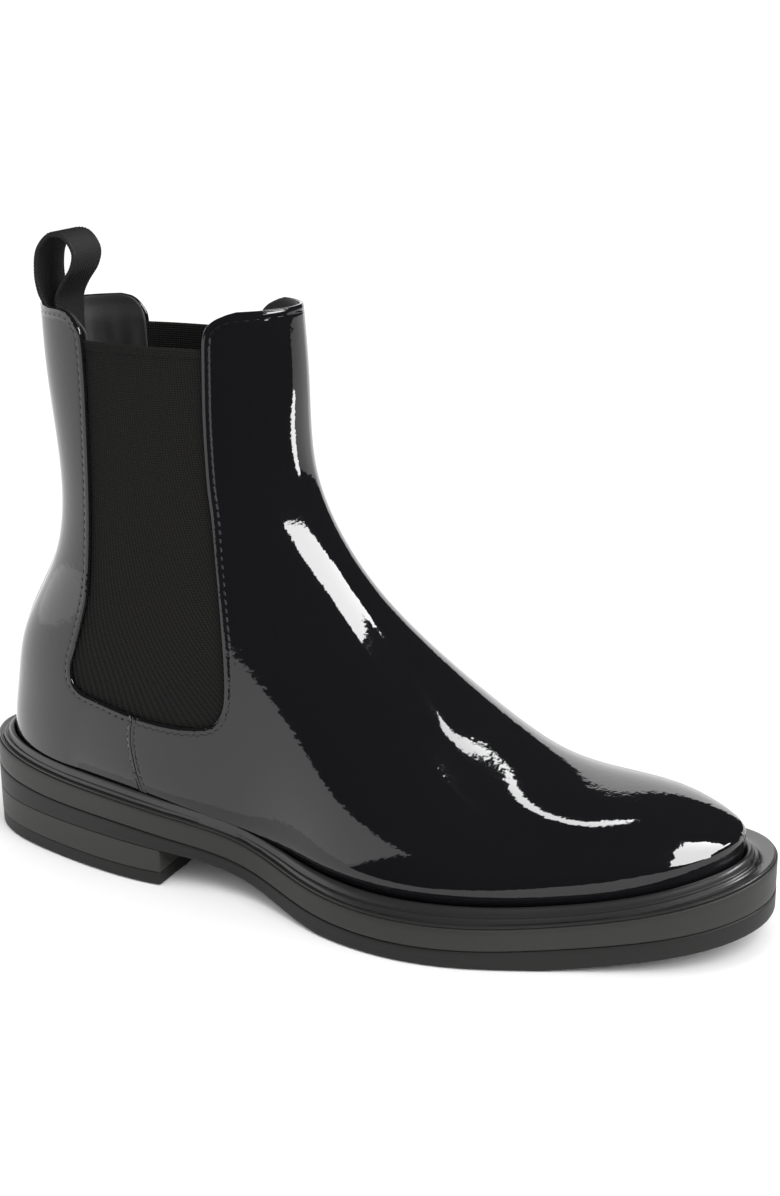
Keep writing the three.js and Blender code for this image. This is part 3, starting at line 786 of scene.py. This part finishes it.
def stitch_row(name, line, side, relief):
    """Stitches along a side-view line on one side of the boot."""
    def places(share):
        return on_skin_from_side(*between(line[:-1], line[1:], share).T, side)
    return stitches(name, places, relief)


def back_stitches(name, side):
    """Stitches up the quarter beside the centre-back seam."""
    start = np.arange(BACK_STITCHES_FROM, BACK_STITCHES_TO, STITCH_PITCH)
    beside = np.full(len(start), side * BACK_ROW_OFFSET - BACK_SEAM_SHIFT)

    def places(share):
        height = start + share * STITCH_PITCH
        far = np.full(len(start), BACK_IS_WITHIN)
        x = bisect(np.zeros(len(start)), far, lambda x: upper_field(x, beside, height) > 0)
        return np.stack([x, beside, height], axis=1)

    return stitches(name, places, rear_relief)


def make_stitches():
    for side, word in SIDES:
        with_back(stitch_row(f"stitches_quarter_{word}", REAR_ROW, side, rear_relief))
        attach(stitch_row(f"stitches_vamp_{word}", FRONT_ROW, side, front_relief), "root")
        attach(stitch_row(f"stitches_seam_rear_{word}", SEAM_REAR_ROW, side, rear_relief), "root")
        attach(stitch_row(f"stitches_seam_front_{word}", SEAM_FRONT_ROW, side, front_relief), "root")
        with_back(back_stitches(f"stitches_back_{word}", side))


# ---- Lining and elastic ----

LINING_THICKNESS = 1.1
LINING_DEPTH = 3.2
LINING_AT_TOP = 1.72
LINING_SHORT = 0.5
ELASTIC_DEPTH = 1.72
ELASTIC_THICKNESS = 1.1
ELASTIC_TUCK = 5
ELASTIC_FROM_CENTRE = 2
ELASTIC_ANGLES = (0.75, 2.6, 110)
ELASTIC_LEVELS = (0.1, 1.0, 110)
ELASTIC_REACH = 4
LINING_LEVELS = (0.02, LEVELS_END, 90)
FRONT_LINING_COLUMNS = 200
REAR_LINING_COLUMNS = 170
HEM_RISE = (0.3, 2.6, 3.2)
HEM_GROOVE = (0.2, 3.0, 0.35)
LINING_SINKS_OVER = (3, 9)
WRINKLES_GROW_OVER = (5, 16)
WRINKLE_HEIGHT = 0.32
WRINKLE_FLOOR = -0.4
# Waves of the lining: their share of the height, and radians per millimetre along x, y and z.
WRINKLES = [(1, 0, 0.75, 0.06), (0.6, 0, 1.3, -0.11), (0.5, 0.9, 0, 0.05)]


def lining_depth(p):
    below = topline(p[:, 0]) - p[:, 2]
    base = LINING_AT_TOP + (LINING_DEPTH - LINING_AT_TOP) * smoothstep(below, *LINING_SINKS_OVER)
    wrinkle = sum(share * np.sin(p @ np.array(waves)) for share, *waves in WRINKLES)
    height = WRINKLE_HEIGHT * smoothstep(below, *WRINKLES_GROW_OVER)
    return base + height * np.maximum(wrinkle, WRINKLE_FLOOR)


def shortened(field):
    return lambda p: np.maximum(field(p) + LINING_SHORT, p[:, 2] - topline(p[:, 0]) + LINING_SHORT)


def rear_lining_field(p):
    return outline_distance(QUARTER_OUTLINE, p) + LINING_SHORT


def elastic_field(side):
    def field(p):
        d = outline_distance(GUSSET_OUTLINE, p) - ELASTIC_TUCK
        return np.maximum(np.maximum(d, p[:, 2] - GUSSET_TOP), ELASTIC_FROM_CENTRE - side * p[:, 1])
    return field


def elastic_relief(p):
    below = GUSSET_TOP - p[:, 2]
    height, inner, outer = HEM_RISE
    depth, at, width = HEM_GROOVE
    return height * (1 - smoothstep(below, inner, outer)) - depth * ridge(below - at, width)


def sunk_by(depth):
    return lambda p: np.full(len(p), depth)


def make_lining():
    levels = np.linspace(*LINING_LEVELS)
    front = panel("vamp_lining_leather", front_angles(FRONT_LINING_COLUMNS), levels,
                  shortened(vamp_field), lining_depth, LINING_THICKNESS, refine=1)
    fixed(front, "vamp_lining", "lining_leather")
    rear = panel("quarter_lining_leather", rear_angles(REAR_LINING_COLUMNS), levels,
                 rear_lining_field, lining_depth, LINING_THICKNESS, refine=1)
    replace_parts(rear, "quarter_lining", "heel_lining")
    with_back(finish(rear, "lining_leather"))
    for side, word in SIDES:
        elastic = panel(f"elastic_{word}", np.linspace(*ELASTIC_ANGLES) * side,
                        np.linspace(*ELASTIC_LEVELS), elastic_field(side), sunk_by(ELASTIC_DEPTH),
                        ELASTIC_THICKNESS, elastic_relief, refine=1, reach=ELASTIC_REACH)
        finish(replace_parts(elastic, f"elastic_gusset_{word}"), "elastic")
        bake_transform(elastic)


# ---- Stiffeners and tapes ----

HIDDEN_DEPTH = 1.85
STIFFENER_THICKNESS = 0.8
TAPE_THICKNESS = 0.6
COUNTER_OUTLINE = np.array([(-10, 0), (70, 0), (70, 46), (44, 50), (38, 68), (-10, 68)])
PUFF_OUTLINE = np.array([(236, 0), (310, 0), (310, 90), (226, 90)])
SEAM_TAPE_OUTLINE = np.array([(77, 34), (87, 34), (86, 53), (76, 53)])
STIFFENER_ABOVE_FEATHER = 0.6
BACK_TAPE_TOP = 176
BACK_TAPE_BOTTOM = 73.3
BACK_TAPE_HALF_WIDTH = 6
BACK_TAPE_REACH = 60
BACK_TAPE_COLUMNS = 40
BACK_TAPE_ANGLE = 2.6
BACK_TAPE_LEVELS = (0.15, 0.95, 80)
SEAM_TAPE_ANGLES = (0.9, 2.4, 60)
STIFFENER_LEVELS = (0, 0.4, 40)
COUNTER_COLUMNS = 120
PUFF_COLUMNS = 240
hidden = sunk_by(HIDDEN_DEPTH)


def outlined(outline):
    def field(p):
        d = outline_distance(outline, p)
        return np.maximum(d, feather_line(p[:, 0]) + STIFFENER_ABOVE_FEATHER - p[:, 2])
    return field


def back_tape_field(p):
    from_seam = np.abs(p[:, 1] + BACK_SEAM_SHIFT)
    across = np.maximum(from_seam - BACK_TAPE_HALF_WIDTH, p[:, 0] - BACK_TAPE_REACH)
    return np.maximum(across, np.maximum(p[:, 2] - BACK_TAPE_TOP, BACK_TAPE_BOTTOM - p[:, 2]))


def make_stiffeners():
    low = np.linspace(*STIFFENER_LEVELS)
    counter = panel("heel_counter_board", rear_angles(COUNTER_COLUMNS), low,
                    outlined(COUNTER_OUTLINE), hidden, STIFFENER_THICKNESS)
    fixed(counter, "heel_counter", "stiffener")
    puff = panel("toe_puff_board", front_angles(PUFF_COLUMNS), low, outlined(PUFF_OUTLINE), hidden,
                 STIFFENER_THICKNESS)
    fixed(puff, "toe_puff", "stiffener")
    tape = panel("back_seam_ribbon", rear_angles(BACK_TAPE_COLUMNS, BACK_TAPE_ANGLE),
                 np.linspace(*BACK_TAPE_LEVELS), back_tape_field, hidden, TAPE_THICKNESS)
    with_back(finish(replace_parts(tape, "back_seam_tape"), "tape"))
    for side, word in SIDES:
        strip = panel(f"side_seam_ribbon_{word}", np.linspace(*SEAM_TAPE_ANGLES) * side, low,
                      outlined(SEAM_TAPE_OUTLINE), hidden, TAPE_THICKNESS)
        fixed(strip, f"side_seam_tape_{word}", "tape")


# ---- Sole ----

SOLE_POINTS = 420
HEEL_POINTS = 150
CORNER_POINTS = 6
HEEL_CORNER = 0.9
# Thin gaps and insets that show where one layer of the sole ends and the next begins.
OUTSOLE_GAP = 0.12
MIDSOLE_INSET = 0.12
HEEL_TOP_GAP = 0.05
HEEL_UNDER_GAP = 0.08
TOP_PIECE_INSET = 0.1
HEEL_TOP_END = 100
# How softly the cut edge of each layer is rounded.
OUTSOLE_EDGE = 0.45
MIDSOLE_EDGE = 0.5
HEEL_EDGE = 0.25
TOP_PIECE_EDGE = 0.35


def sole_half_widths(x):
    root = np.sqrt(np.maximum(x * (SOLE_LENGTH - x), 0))
    shift = TOE_SHIFT * (x / SOLE_LENGTH) ** 2
    return sole_factor[1](x) * root + shift, -sole_factor[-1](x) * root + shift


def sole_edge():
    """The sole's outline in plan, mirrored index for index about its length."""
    turn = 2 * np.pi * (np.arange(SOLE_POINTS) + 0.5) / SOLE_POINTS
    x = SOLE_LENGTH / 2 * (1 + np.cos(turn))
    medial, lateral = sole_half_widths(x)
    return np.stack([x, np.where(np.sin(turn) >= 0, medial, lateral)], axis=1)


def heel_edge(corner):
    """The heel's outline, cut square at the breast with small rounded corners."""
    x = HEEL_BREAST * 0.5 * (1 + np.cos(np.pi * (np.arange(HEEL_POINTS) + 0.5) / HEEL_POINTS))
    turn = np.linspace(0, np.pi / 2, CORNER_POINTS)
    keep = x < HEEL_BREAST - corner
    sides = []
    for sign, y, y_breast in zip((1, -1), sole_half_widths(x), sole_half_widths(HEEL_BREAST)):
        bend_x = HEEL_BREAST - corner * (1 - np.cos(turn))
        bend_y = y_breast - sign * corner * (1 - np.sin(turn))
        sides.append(np.vstack([np.stack([bend_x, bend_y], 1), np.stack([x, y], 1)[keep]]))
    return np.vstack([sides[0], sides[1][::-1]])


def inset(outline, by):
    along = np.roll(outline, -1, axis=0) - np.roll(outline, 1, axis=0)
    return outline + left_of(along) * by


def end_caps(count, rings):
    """Quads that close the first and last rings of a grid whose points mirror index for index."""
    faces = []
    for i in range(count // 2 - 1):
        for start in (0, (rings - 1) * count):
            faces.append([start + i, start + i + 1, start + count - i - 2, start + count - i - 1])
    return faces


def layer(name, outline, bottom, top, profile):
    """A slab of the sole. profile is a list of (inset, share of the height, millimetres added)."""
    count = len(outline)
    rings = []
    for inwards, share, extra in profile:
        ring = inset(outline, inwards)
        z = between(bottom(ring[:, 0]), top(ring[:, 0]), share) + extra
        rings.append(np.column_stack([ring, z]))
    faces = grid_faces(len(rings), count, closed_columns=True) + end_caps(count, len(rings))
    run = np.concatenate([[0], np.cumsum(np.linalg.norm(np.diff(outline, axis=0), axis=1))])
    points = np.vstack(rings)
    uv = np.column_stack([np.tile(run, len(rings)), points[:, 2]])
    return new_object(name, points, faces, uv)


def edge_profile(soft):
    """A cut edge whose corners are rounded off by about soft millimetres."""
    low = [(soft * 2.2, 0, 0), (soft, 0, 0.02), (soft * 0.3, 0, soft * 0.3), (0, 0, soft)]
    middle = [(0, share, soft * (1 - 2 * share)) for share in (0.25, 0.5, 0.75)]
    high = [(inwards, 1, -rise) for inwards, _, rise in reversed(low)]
    return low + middle + high


def level_at(height):
    return lambda x: np.full(len(x), float(height))


def heel_seat(x):
    return sole_bottom_curve(np.minimum(x, HEEL_TOP_END)) - HEEL_TOP_GAP


def make_sole():
    edge = sole_edge()
    outsole = layer("outsole_rubber", edge, sole_bottom, lambda x: midsole_bottom(x) - OUTSOLE_GAP,
                    edge_profile(OUTSOLE_EDGE))
    fixed(outsole, "outsole", "outsole")
    midsole = layer("midsole_rubber", inset(edge, MIDSOLE_INSET), midsole_bottom, sole_top,
                    edge_profile(MIDSOLE_EDGE))
    fixed(midsole, "midsole", "midsole")
    heel_line = heel_edge(HEEL_CORNER)
    block = layer("heel_stack", heel_line, level_at(TOP_PIECE_THICKNESS + HEEL_UNDER_GAP), heel_seat,
                  edge_profile(HEEL_EDGE))
    fixed(block, "heel_block", "heel")
    lift = layer("heel_lift", inset(heel_line, TOP_PIECE_INSET), level_at(0),
                 level_at(TOP_PIECE_THICKNESS), edge_profile(TOP_PIECE_EDGE))
    fixed(lift, "heel_top_piece", "top_piece")


# The welt's section. Its outer edge is set by (how far in from the sole's edge, height above the
# midsole), its bead by (how far out from the upper, height), and the channel between by both, with the
# share that the upper counts for.
WELT_EDGE = [(1.15, 0.02), (0.85, 0.2), (0.78, 0.55), (0.9, 0.9), (1.25, 1.12), (1.8, 1.12)]
WELT_CHANNEL = [(5.9, 2.6, 0.35, 0.9), (5.6, 2.8, 0.7, 0.95)]
WELT_BEAD = [(5.3, 1.25), (5.0, 1.75), (4.8, 2.25), (4.55, 2.62), (4.2, 2.78), (3.88, 2.66),
             (3.62, 2.6), (3.4, 2.85), (3.24, 3.4), (3.05, 4.1), (2.72, 4.75), (2.25, 5.25),
             (1.7, 5.5), (1.2, 5.45), (0.8, 5.1), (0.55, 4.5), (0.42, 3.6), (0.4, 2.0), (0.4, 0.02)]
WELT_SECTION = ([(0, inwards, 0, rise) for inwards, rise in WELT_EDGE] + WELT_CHANNEL
                + [(gap, 0, 1, rise) for gap, rise in WELT_BEAD])
BEAD_LEVEL = 0.016
WELT_POINTS = 420
# The welt's section shrinks where the sole's edge comes closer to the upper than its full reach.
WELT_REACH = 5.4
WELT_MARGIN = 1.9


def make_welt():
    turn = 2 * np.pi * np.arange(WELT_POINTS) / WELT_POINTS
    beside = skin(turn, np.full(WELT_POINTS, BEAD_LEVEL))
    out = unit(skin_normal(beside)[:, :2])
    edge = sole_edge()
    nearest = np.array([edge[np.argmin(np.linalg.norm(edge - p[:2], axis=1))] for p in beside])
    towards = nearest - beside[:, :2]
    room = np.linalg.norm(towards, axis=1)
    towards = unit(towards)
    shrink = np.minimum(1, (room - WELT_MARGIN) / WELT_REACH)
    rings = []
    for gap, inwards, share, rise in WELT_SECTION:
        near_upper = beside[:, :2] + out * (gap * shrink)[:, None]
        near_edge = beside[:, :2] + towards * (room - inwards)[:, None]
        plan = between(near_edge, near_upper, share)
        z = sole_top(np.clip(plan[:, 0], 0, SOLE_LENGTH)) + rise
        rings.append(np.column_stack([plan, z]))
    faces = grid_faces(len(rings), WELT_POINTS, closed_rows=True, closed_columns=True)
    fixed(new_object("storm_welt_bead", np.vstack(rings), faces), "storm_welt", "welt")


# ---- Pull loop ----

LOOP_WIDTH = 18
LOOP_THICKNESS = 1.7
LOOP_PATH = [(40.4, 183), (40.2, 192), (40.2, 199), (40.4, 203.6), (41.2, 207.0), (43.6, 211.2),
             (47.6, 216.6), (48.8, 222.4), (45.0, 227.6), (39.0, 227.9), (34.0, 222.6), (32.7, 214.5),
             (33.6, 208.0), (35.6, 203.8), (37.6, 199), (38.2, 192), (38.3, 184)]
LOOP_SPACING = 0.3
LOOP_ACROSS = 58
LOOP_ROUND = 5
TWILL_PITCH = 1.15
TWILL_DEPTH = 0.17
SELVEDGE_SCALLOP = 0.12


def make_loop():
    path = smooth_path(LOOP_PATH, LOOP_SPACING)
    out = left_of(np.gradient(path, axis=0))
    edge = LOOP_THICKNESS / 2
    half = LOOP_WIDTH / 2 - edge
    flat = np.linspace(-half, half, LOOP_ACROSS)
    turn = np.linspace(-np.pi / 2, np.pi / 2, LOOP_ROUND + 2)[1:-1]
    across = np.concatenate([flat, half + edge * np.cos(turn), flat[::-1], -half - edge * np.cos(turn)])
    over = np.concatenate([np.full(LOOP_ACROSS, -edge), edge * np.sin(turn),
                           np.full(LOOP_ACROSS, edge), -edge * np.sin(turn)])
    on_face = np.tile(np.repeat([1.0, 0.0], [LOOP_ACROSS, LOOP_ROUND]), 2)
    run = np.arange(len(path)) * LOOP_SPACING
    points = []
    for k in range(len(path)):
        twill = np.cos(2 * np.pi * (run[k] + across * 0.8) / TWILL_PITCH)
        weft = np.cos(2 * np.pi * (run[k] * 0.9 - across * 2.1) / TWILL_PITCH)
        rise = TWILL_DEPTH * (twill + 0.5 * weft) * on_face
        scallop = SELVEDGE_SCALLOP * np.cos(2 * np.pi * run[k] / TWILL_PITCH) * (1 - on_face)
        side = np.outer(over + np.sign(over) * rise, out[k])
        width = across + np.sign(across) * scallop
        points.append(np.column_stack([path[k, 0] + side[:, 0], width, path[k, 1] + side[:, 1]]))
    count = len(across)
    faces = grid_faces(len(path), count, closed_columns=True) + end_caps(count, len(path))
    uv = np.column_stack([np.repeat(run, count), np.tile(across, len(path))])
    loop = new_object("pull_loop_webbing", np.vstack(points), faces, uv)
    finish(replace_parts(loop, "pull_loop", "pull_loop_tail"), "webbing")
    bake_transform(loop)


# ---- Materials ----

FINISHES = {
    "patent_leather": ((0.0055, 0.0055, 0.0065), 0.045),
    "thread": ((0.009, 0.009, 0.010), 0.4),
    "lining_leather": ((0.02, 0.019, 0.021), 0.6),
    "elastic": ((0.0095, 0.009, 0.0085), 0.9),
    "webbing": ((0.011, 0.011, 0.0115), 0.7),
    "welt": ((0.018, 0.0175, 0.0175), 0.33),
    "midsole": ((0.027, 0.027, 0.0255), 0.5),
    "outsole": ((0.013, 0.013, 0.0125), 0.52),
    "heel": ((0.03, 0.03, 0.028), 0.5),
    "top_piece": ((0.013, 0.013, 0.0125), 0.55),
    "insole_board": ((0.26, 0.16, 0.08), 0.85),
    "sock": ((0.02, 0.02, 0.021), 0.5),
    "filler": ((0.32, 0.18, 0.08), 0.95),
    "stiffener": ((0.62, 0.56, 0.45), 0.8),
    "tape": ((0.02, 0.02, 0.023), 0.9),
    "steel": ((0.34, 0.36, 0.38), 0.3),
}
# Share of the usual mirror reflection kept by cloth and rubber.
SHEEN = {"elastic": 0.2, "webbing": 0.4, "lining_leather": 0.6, "thread": 0.5, "midsole": 0.5,
         "outsole": 0.5, "heel": 0.5, "top_piece": 0.5, "tape": 0.2}
# Bump layers of each finish: texture size in millimetres, depth in millimetres.
PEEL = [(24, 0.03), (8, 0.03), (2.3, 0.035), (1.0, 0.004)]
GRAIN = [(1.1, 0.05), (4, 0.05)]
RUBBER = [(0.5, 0.008), (9, 0.01)]
BUMPS = {"patent_leather": PEEL, "lining_leather": GRAIN, "sock": GRAIN, "midsole": RUBBER,
         "outsole": RUBBER, "heel": RUBBER, "top_piece": RUBBER, "welt": [(2.0, 0.006)]}


NOISE_DETAIL = 1.5
MIRROR = 0.5
WEAVE = (("X", 0.95), ("Y", 0.8))
WEAVE_DEPTH = 0.07
# Painted light on the elastic: its colour is scaled by the first value between the ribs (painted shade)
# and by the second on their crests (painted highlight).
WEAVE_PAINTED_LIGHT = (0.45, 1.5)

materials = {}


def add_node(tree, kind, inputs=None, **settings):
    """A new shader node. Each input gets a value, or the output of another node."""
    node = tree.nodes.new("ShaderNode" + kind)
    for key, value in settings.items():
        setattr(node, key, value)
    for key, value in (inputs or {}).items():
        if isinstance(value, bpy.types.NodeSocket):
            tree.links.new(value, node.inputs[key])
        else:
            node.inputs[key].default_value = value
    return node


def noise_bump(tree, sizes):
    """The normal after a chain of noise bumps."""
    coordinates = add_node(tree, "TexCoord").outputs["Object"]
    below = {}
    for size, depth in sizes:
        noise = add_node(tree, "TexNoise", {"Scale": 1 / (size * MM), "Detail": NOISE_DETAIL,
                                            "Vector": coordinates})
        bump = add_node(tree, "Bump", {"Distance": depth * MM, "Height": noise.outputs["Fac"], **below})
        below = {"Normal": bump.outputs["Normal"]}
    return bump.outputs["Normal"]


def weave_height(tree):
    """A small woven grid read from the surface map, whose units are millimetres."""
    surface = add_node(tree, "UVMap", uv_map="surface")
    split = add_node(tree, "SeparateXYZ", {"Vector": surface.outputs["UV"]})
    waves = []
    for axis, pitch in WEAVE:
        scaled = add_node(tree, "Math", {0: split.outputs[axis], 1: 2 * math.pi / pitch},
                          operation="MULTIPLY")
        waves.append(add_node(tree, "Math", {0: scaled.outputs[0]}, operation="SINE").outputs[0])
    return add_node(tree, "Math", {0: waves[0], 1: waves[1]}, operation="ADD").outputs[0]


def weave(tree, shader, colour):
    """Gives the elastic its ribs, with painted shade between them and a painted highlight on their
    crests.
    """
    height = weave_height(tree)
    bump = add_node(tree, "Bump", {"Distance": WEAVE_DEPTH * MM, "Height": height})
    tree.links.new(bump.outputs["Normal"], shader.inputs["Normal"])
    # Painted shade and painted highlight: the colour is scaled with the weave's height, darker between
    # the ribs and lighter on their crests.
    painted_light_scale = add_node(tree, "MapRange", {"From Min": -2, "From Max": 2, "To Min": WEAVE_PAINTED_LIGHT[0],
                                       "To Max": WEAVE_PAINTED_LIGHT[1], "Value": height})
    painted_light_colour = add_node(tree, "VectorMath", {0: colour, "Scale": painted_light_scale.outputs["Result"]},
                      operation="SCALE")
    tree.links.new(painted_light_colour.outputs["Vector"], shader.inputs["Base Color"])


def painted(name, colour, roughness, mirror):
    """A plain material, and its shader. The strength of its reflections is mirror."""
    material = bpy.data.materials.new(name)
    material.use_nodes = True
    shader = material.node_tree.nodes["Principled BSDF"]
    shader.inputs["Base Color"].default_value = (*colour, 1)
    shader.inputs["Roughness"].default_value = roughness
    shader.inputs["Specular IOR Level"].default_value = mirror
    return material, shader


def material_for(name):
    if name in materials:
        return materials[name]
    colour, roughness = FINISHES[name]
    material, shader = painted(name, colour, roughness, MIRROR * SHEEN.get(name, 1))
    tree = material.node_tree
    shader.inputs["Metallic"].default_value = 1 if name == "steel" else 0
    if name in BUMPS:
        tree.links.new(noise_bump(tree, BUMPS[name]), shader.inputs["Normal"])
    if name == "elastic":
        weave(tree, shader, colour)
    materials[name] = material
    return material


def finish(obj, slot, look=None):
    """Gives a piece its look: the material named by look, or by slot where no look is given."""
    obj.data.materials.clear()
    obj.data.materials.append(material_for(look or slot))
    return obj


NODE_FINISHES = {
    "sock_liner": "sock", "insole_board": "insole_board", "heel_filler": "filler",
    "forefoot_filler": "filler", "shank": "steel",
    **{f"heel_nail_{number}": "steel" for number in range(1, 6)}}


def dress_hidden_nodes():
    for name, look in NODE_FINISHES.items():
        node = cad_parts[name]
        node.data.materials.clear()
        node.data.materials.append(material_for(look))


# ---- Camera, floor and light ----

CAMERA_AT = (420.9, -561.9, 309.3)
CAMERA_AZIMUTH = 24.37
CAMERA_ELEVATION = 18.10
CAMERA_ROLL = -0.35
CAMERA_LENS = 55.96


def make_camera():
    camera = placed("camera", bpy.data.cameras.new("camera"))
    camera.data.lens = CAMERA_LENS
    camera.data.clip_start = 0.01
    turn = (Matrix.Rotation(math.radians(CAMERA_AZIMUTH), 4, "Z")
            @ Matrix.Rotation(math.radians(90 - CAMERA_ELEVATION), 4, "X")
            @ Matrix.Rotation(math.radians(CAMERA_ROLL), 4, "Z"))
    camera.matrix_world = Matrix.Translation(to_row(CAMERA_AT)) @ turn
    bpy.context.scene.camera = camera


def plain_card(name, corners, strength, faces=None, reach=None):
    """A flat card that only reflections see. With a reach, only the vamp sees it, and from near by."""
    mesh = bpy.data.meshes.new(name)
    mesh.from_pydata([tuple(c) for c in corners], [], faces or [tuple(range(len(corners)))])
    card = placed(name, mesh)
    material = bpy.data.materials.new(name)
    material.use_nodes = True
    tree = material.node_tree
    tree.nodes.clear()
    shown = add_node(tree, "Emission", {"Strength": strength})
    if reach:
        length = add_node(tree, "LightPath").outputs["Ray Length"]
        near = add_node(tree, "Math", {0: length, 1: reach}, operation="LESS_THAN")
        clear = add_node(tree, "BsdfTransparent")
        shown = add_node(tree, "MixShader", {0: near.outputs[0], 1: clear.outputs[0],
                                             2: shown.outputs[0]})
        receivers = bpy.data.collections.new(name)
        receivers.objects.link(bpy.data.objects["vamp_leather"])
        card.light_linking.receiver_collection = receivers
    add_node(tree, "OutputMaterial", {"Surface": shown.outputs[0]})
    mesh.materials.append(material)
    card.visible_camera = False
    card.visible_diffuse = False
    card.visible_transmission = False
    card.visible_shadow = False


def card_facing(aim, azimuth, elevation, distance, outline):
    """Corners of an outline held square to a direction from the aim. Units of outline: distance."""
    a = math.radians(azimuth)
    e = math.radians(elevation)
    ahead = np.array([math.cos(a) * math.cos(e), math.sin(a) * math.cos(e), math.sin(e)])
    right = np.array([-math.sin(a), math.cos(a), 0])
    up = np.cross(ahead, right)
    centre = to_row(aim) + ahead * distance
    return [centre + (right * u + up * v) * distance for u, v in outline]


# Softboxes: the spot they face (mm), their direction from it as azimuth, elevation and distance (m),
# their strength, how near the vamp must be to see them (m), and their outline in shares of the distance.
SOFTBOXES = {
    "key_softbox": ((180, -15, 80), (-20, 38, 1.1), 20, None,
                    [(-0.33, -0.32), (0.36, -0.21), (0.9, 0.14), (0.93, 0.42), (0.8, 0.44),
                     (0.62, 0.33), (0.05, 0.33), (0.0, 0.1)]),
    "toe_softbox": ((281, -14, 39), (-5, 30, 0.06), 18, 0.2,
                    [(1.1, 1.6), (1.5, 1.5), (0.25, 0.1), (-0.1, -0.5), (-0.1, -1.1), (-0.8, -1.1),
                     (-1.2, -0.8), (-0.9, 0), (-0.15, 0.95)])}
# Walls and floor patches: the axis that they stand square to, their place on it (m), their strength, and
# their outline on the other two axes (m).
FLAT_CARDS = {
    "backdrop": (1, 0.55, 1.7,
                 [(-1.3, 0), (0.26, 0), (0.235, 0.06), (0.2, 0.15), (0.15, 0.25), (0.12, 0.32),
                  (0.05, 0.37), (-0.2, 0.6), (-1.3, 0.6)]),
    "dark_card": (2, 0.0002, 0.02,
                  [(0.085, -0.085), (0.26, -0.085), (0.40, -0.02), (3.2, 1.3), (3.2, -3.2),
                   (-0.34, -3.2)]),
    "bright_card": (2, 0.0003, 1.5,
                    [(-3.2, -3.2), (-0.36, -3.2), (0.08, -0.09), (-0.06, -0.06), (-0.06, 0.5),
                     (-3.2, 0.5)]),
    "rear_card": (0, -1.2, 2, [(-1.1, 0), (0.55, 0), (0.55, 0.5), (-1.1, 0.5)])}
# A thin tube of light close above the toe: its run in plan, its height, and its width at each end (mm).
TOE_TUBE = [(228, 10), (239, 17), (246, 35), (250, 54), (252, 72)]
TOE_TUBE_HEIGHT = 120
TOE_TUBE_WIDTH = (11, 1.0)
TOE_TUBE_SPACING = 3
TOE_TUBE_STRENGTH = 14
TOE_TUBE_REACH = 0.135
FLOOR_HALF_SIZE = 3.0
FLOOR_HEIGHT = -0.0004
FLOOR_WHITE = 0.92
WORLD_STRENGTH = 1.15
WORLD_STRENGTH_IN_REFLECTIONS = 0.03
LAMP_AT = (0.9, -0.5, 0.9)
LAMP_AZIMUTH = 61
LAMP_TILT = 48
LAMP_SIZE = 0.7
LAMP_POWER = 9


def ribbon(line, widths):
    """Both sides of a flat strip along a line, and its faces. The strip tapers between two widths."""
    count = len(line)
    aside = left_of(np.gradient(line, axis=0)) * np.linspace(*widths, count)[:, None] / 2
    faces = [(k, k + 1, k + 1 + count, k + count) for k in range(count - 1)]
    return np.vstack([line + aside, line - aside]), faces


def make_floor():
    mesh = bpy.data.meshes.new("floor")
    corners = [(x * FLOOR_HALF_SIZE, y * FLOOR_HALF_SIZE, FLOOR_HEIGHT)
               for x, y in ((-1, -1), (1, -1), (1, 1), (-1, 1))]
    mesh.from_pydata(corners, [], [(0, 1, 2, 3)])
    mesh.materials.append(painted("floor", (FLOOR_WHITE, FLOOR_WHITE, FLOOR_WHITE), 1, 0)[0])
    placed("floor", mesh)


def make_world():
    world = bpy.data.worlds.new("world")
    bpy.context.scene.world = world
    world.use_nodes = True
    tree = world.node_tree
    glossy = add_node(tree, "LightPath").outputs["Is Glossy Ray"]
    strength = add_node(tree, "Mix", {"A": WORLD_STRENGTH, "B": WORLD_STRENGTH_IN_REFLECTIONS,
                                      "Factor": glossy})
    background = tree.nodes["Background"]
    background.inputs["Color"].default_value = (1, 1, 1, 1)
    tree.links.new(strength.outputs["Result"], background.inputs["Strength"])


def make_lights():
    """The cards, which need the vamp to be there already, and one lamp for the matt surfaces."""
    for name, (aim, direction, strength, reach, outline) in SOFTBOXES.items():
        plain_card(name, card_facing(aim, *direction, outline), strength, reach=reach)
    for name, (axis, place, strength, outline) in FLAT_CARDS.items():
        plain_card(name, np.insert(np.array(outline, float), axis, place, axis=1), strength)
    strip, faces = ribbon(smooth_path(TOE_TUBE, TOE_TUBE_SPACING), TOE_TUBE_WIDTH)
    strip = to_row(np.column_stack([strip, np.full(len(strip), TOE_TUBE_HEIGHT)]))
    plain_card("toe_tube", strip, TOE_TUBE_STRENGTH, faces, TOE_TUBE_REACH)
    lamp = bpy.data.lights.new("key", "AREA")
    lamp.energy = LAMP_POWER
    lamp.size = LAMP_SIZE
    light = placed("key", lamp)
    light.matrix_world = (Matrix.Translation(LAMP_AT)
                          @ Matrix.Rotation(math.radians(LAMP_AZIMUTH), 4, "Z")
                          @ Matrix.Rotation(math.radians(LAMP_TILT), 4, "X"))
    light.visible_glossy = False


make_camera()
make_floor()
make_world()
bpy.context.scene.view_settings.view_transform = "Standard"

make_leather()
make_lights()
make_stitches()
make_lining()
make_stiffeners()
make_sole()
make_welt()
make_loop()
dress_hidden_nodes()
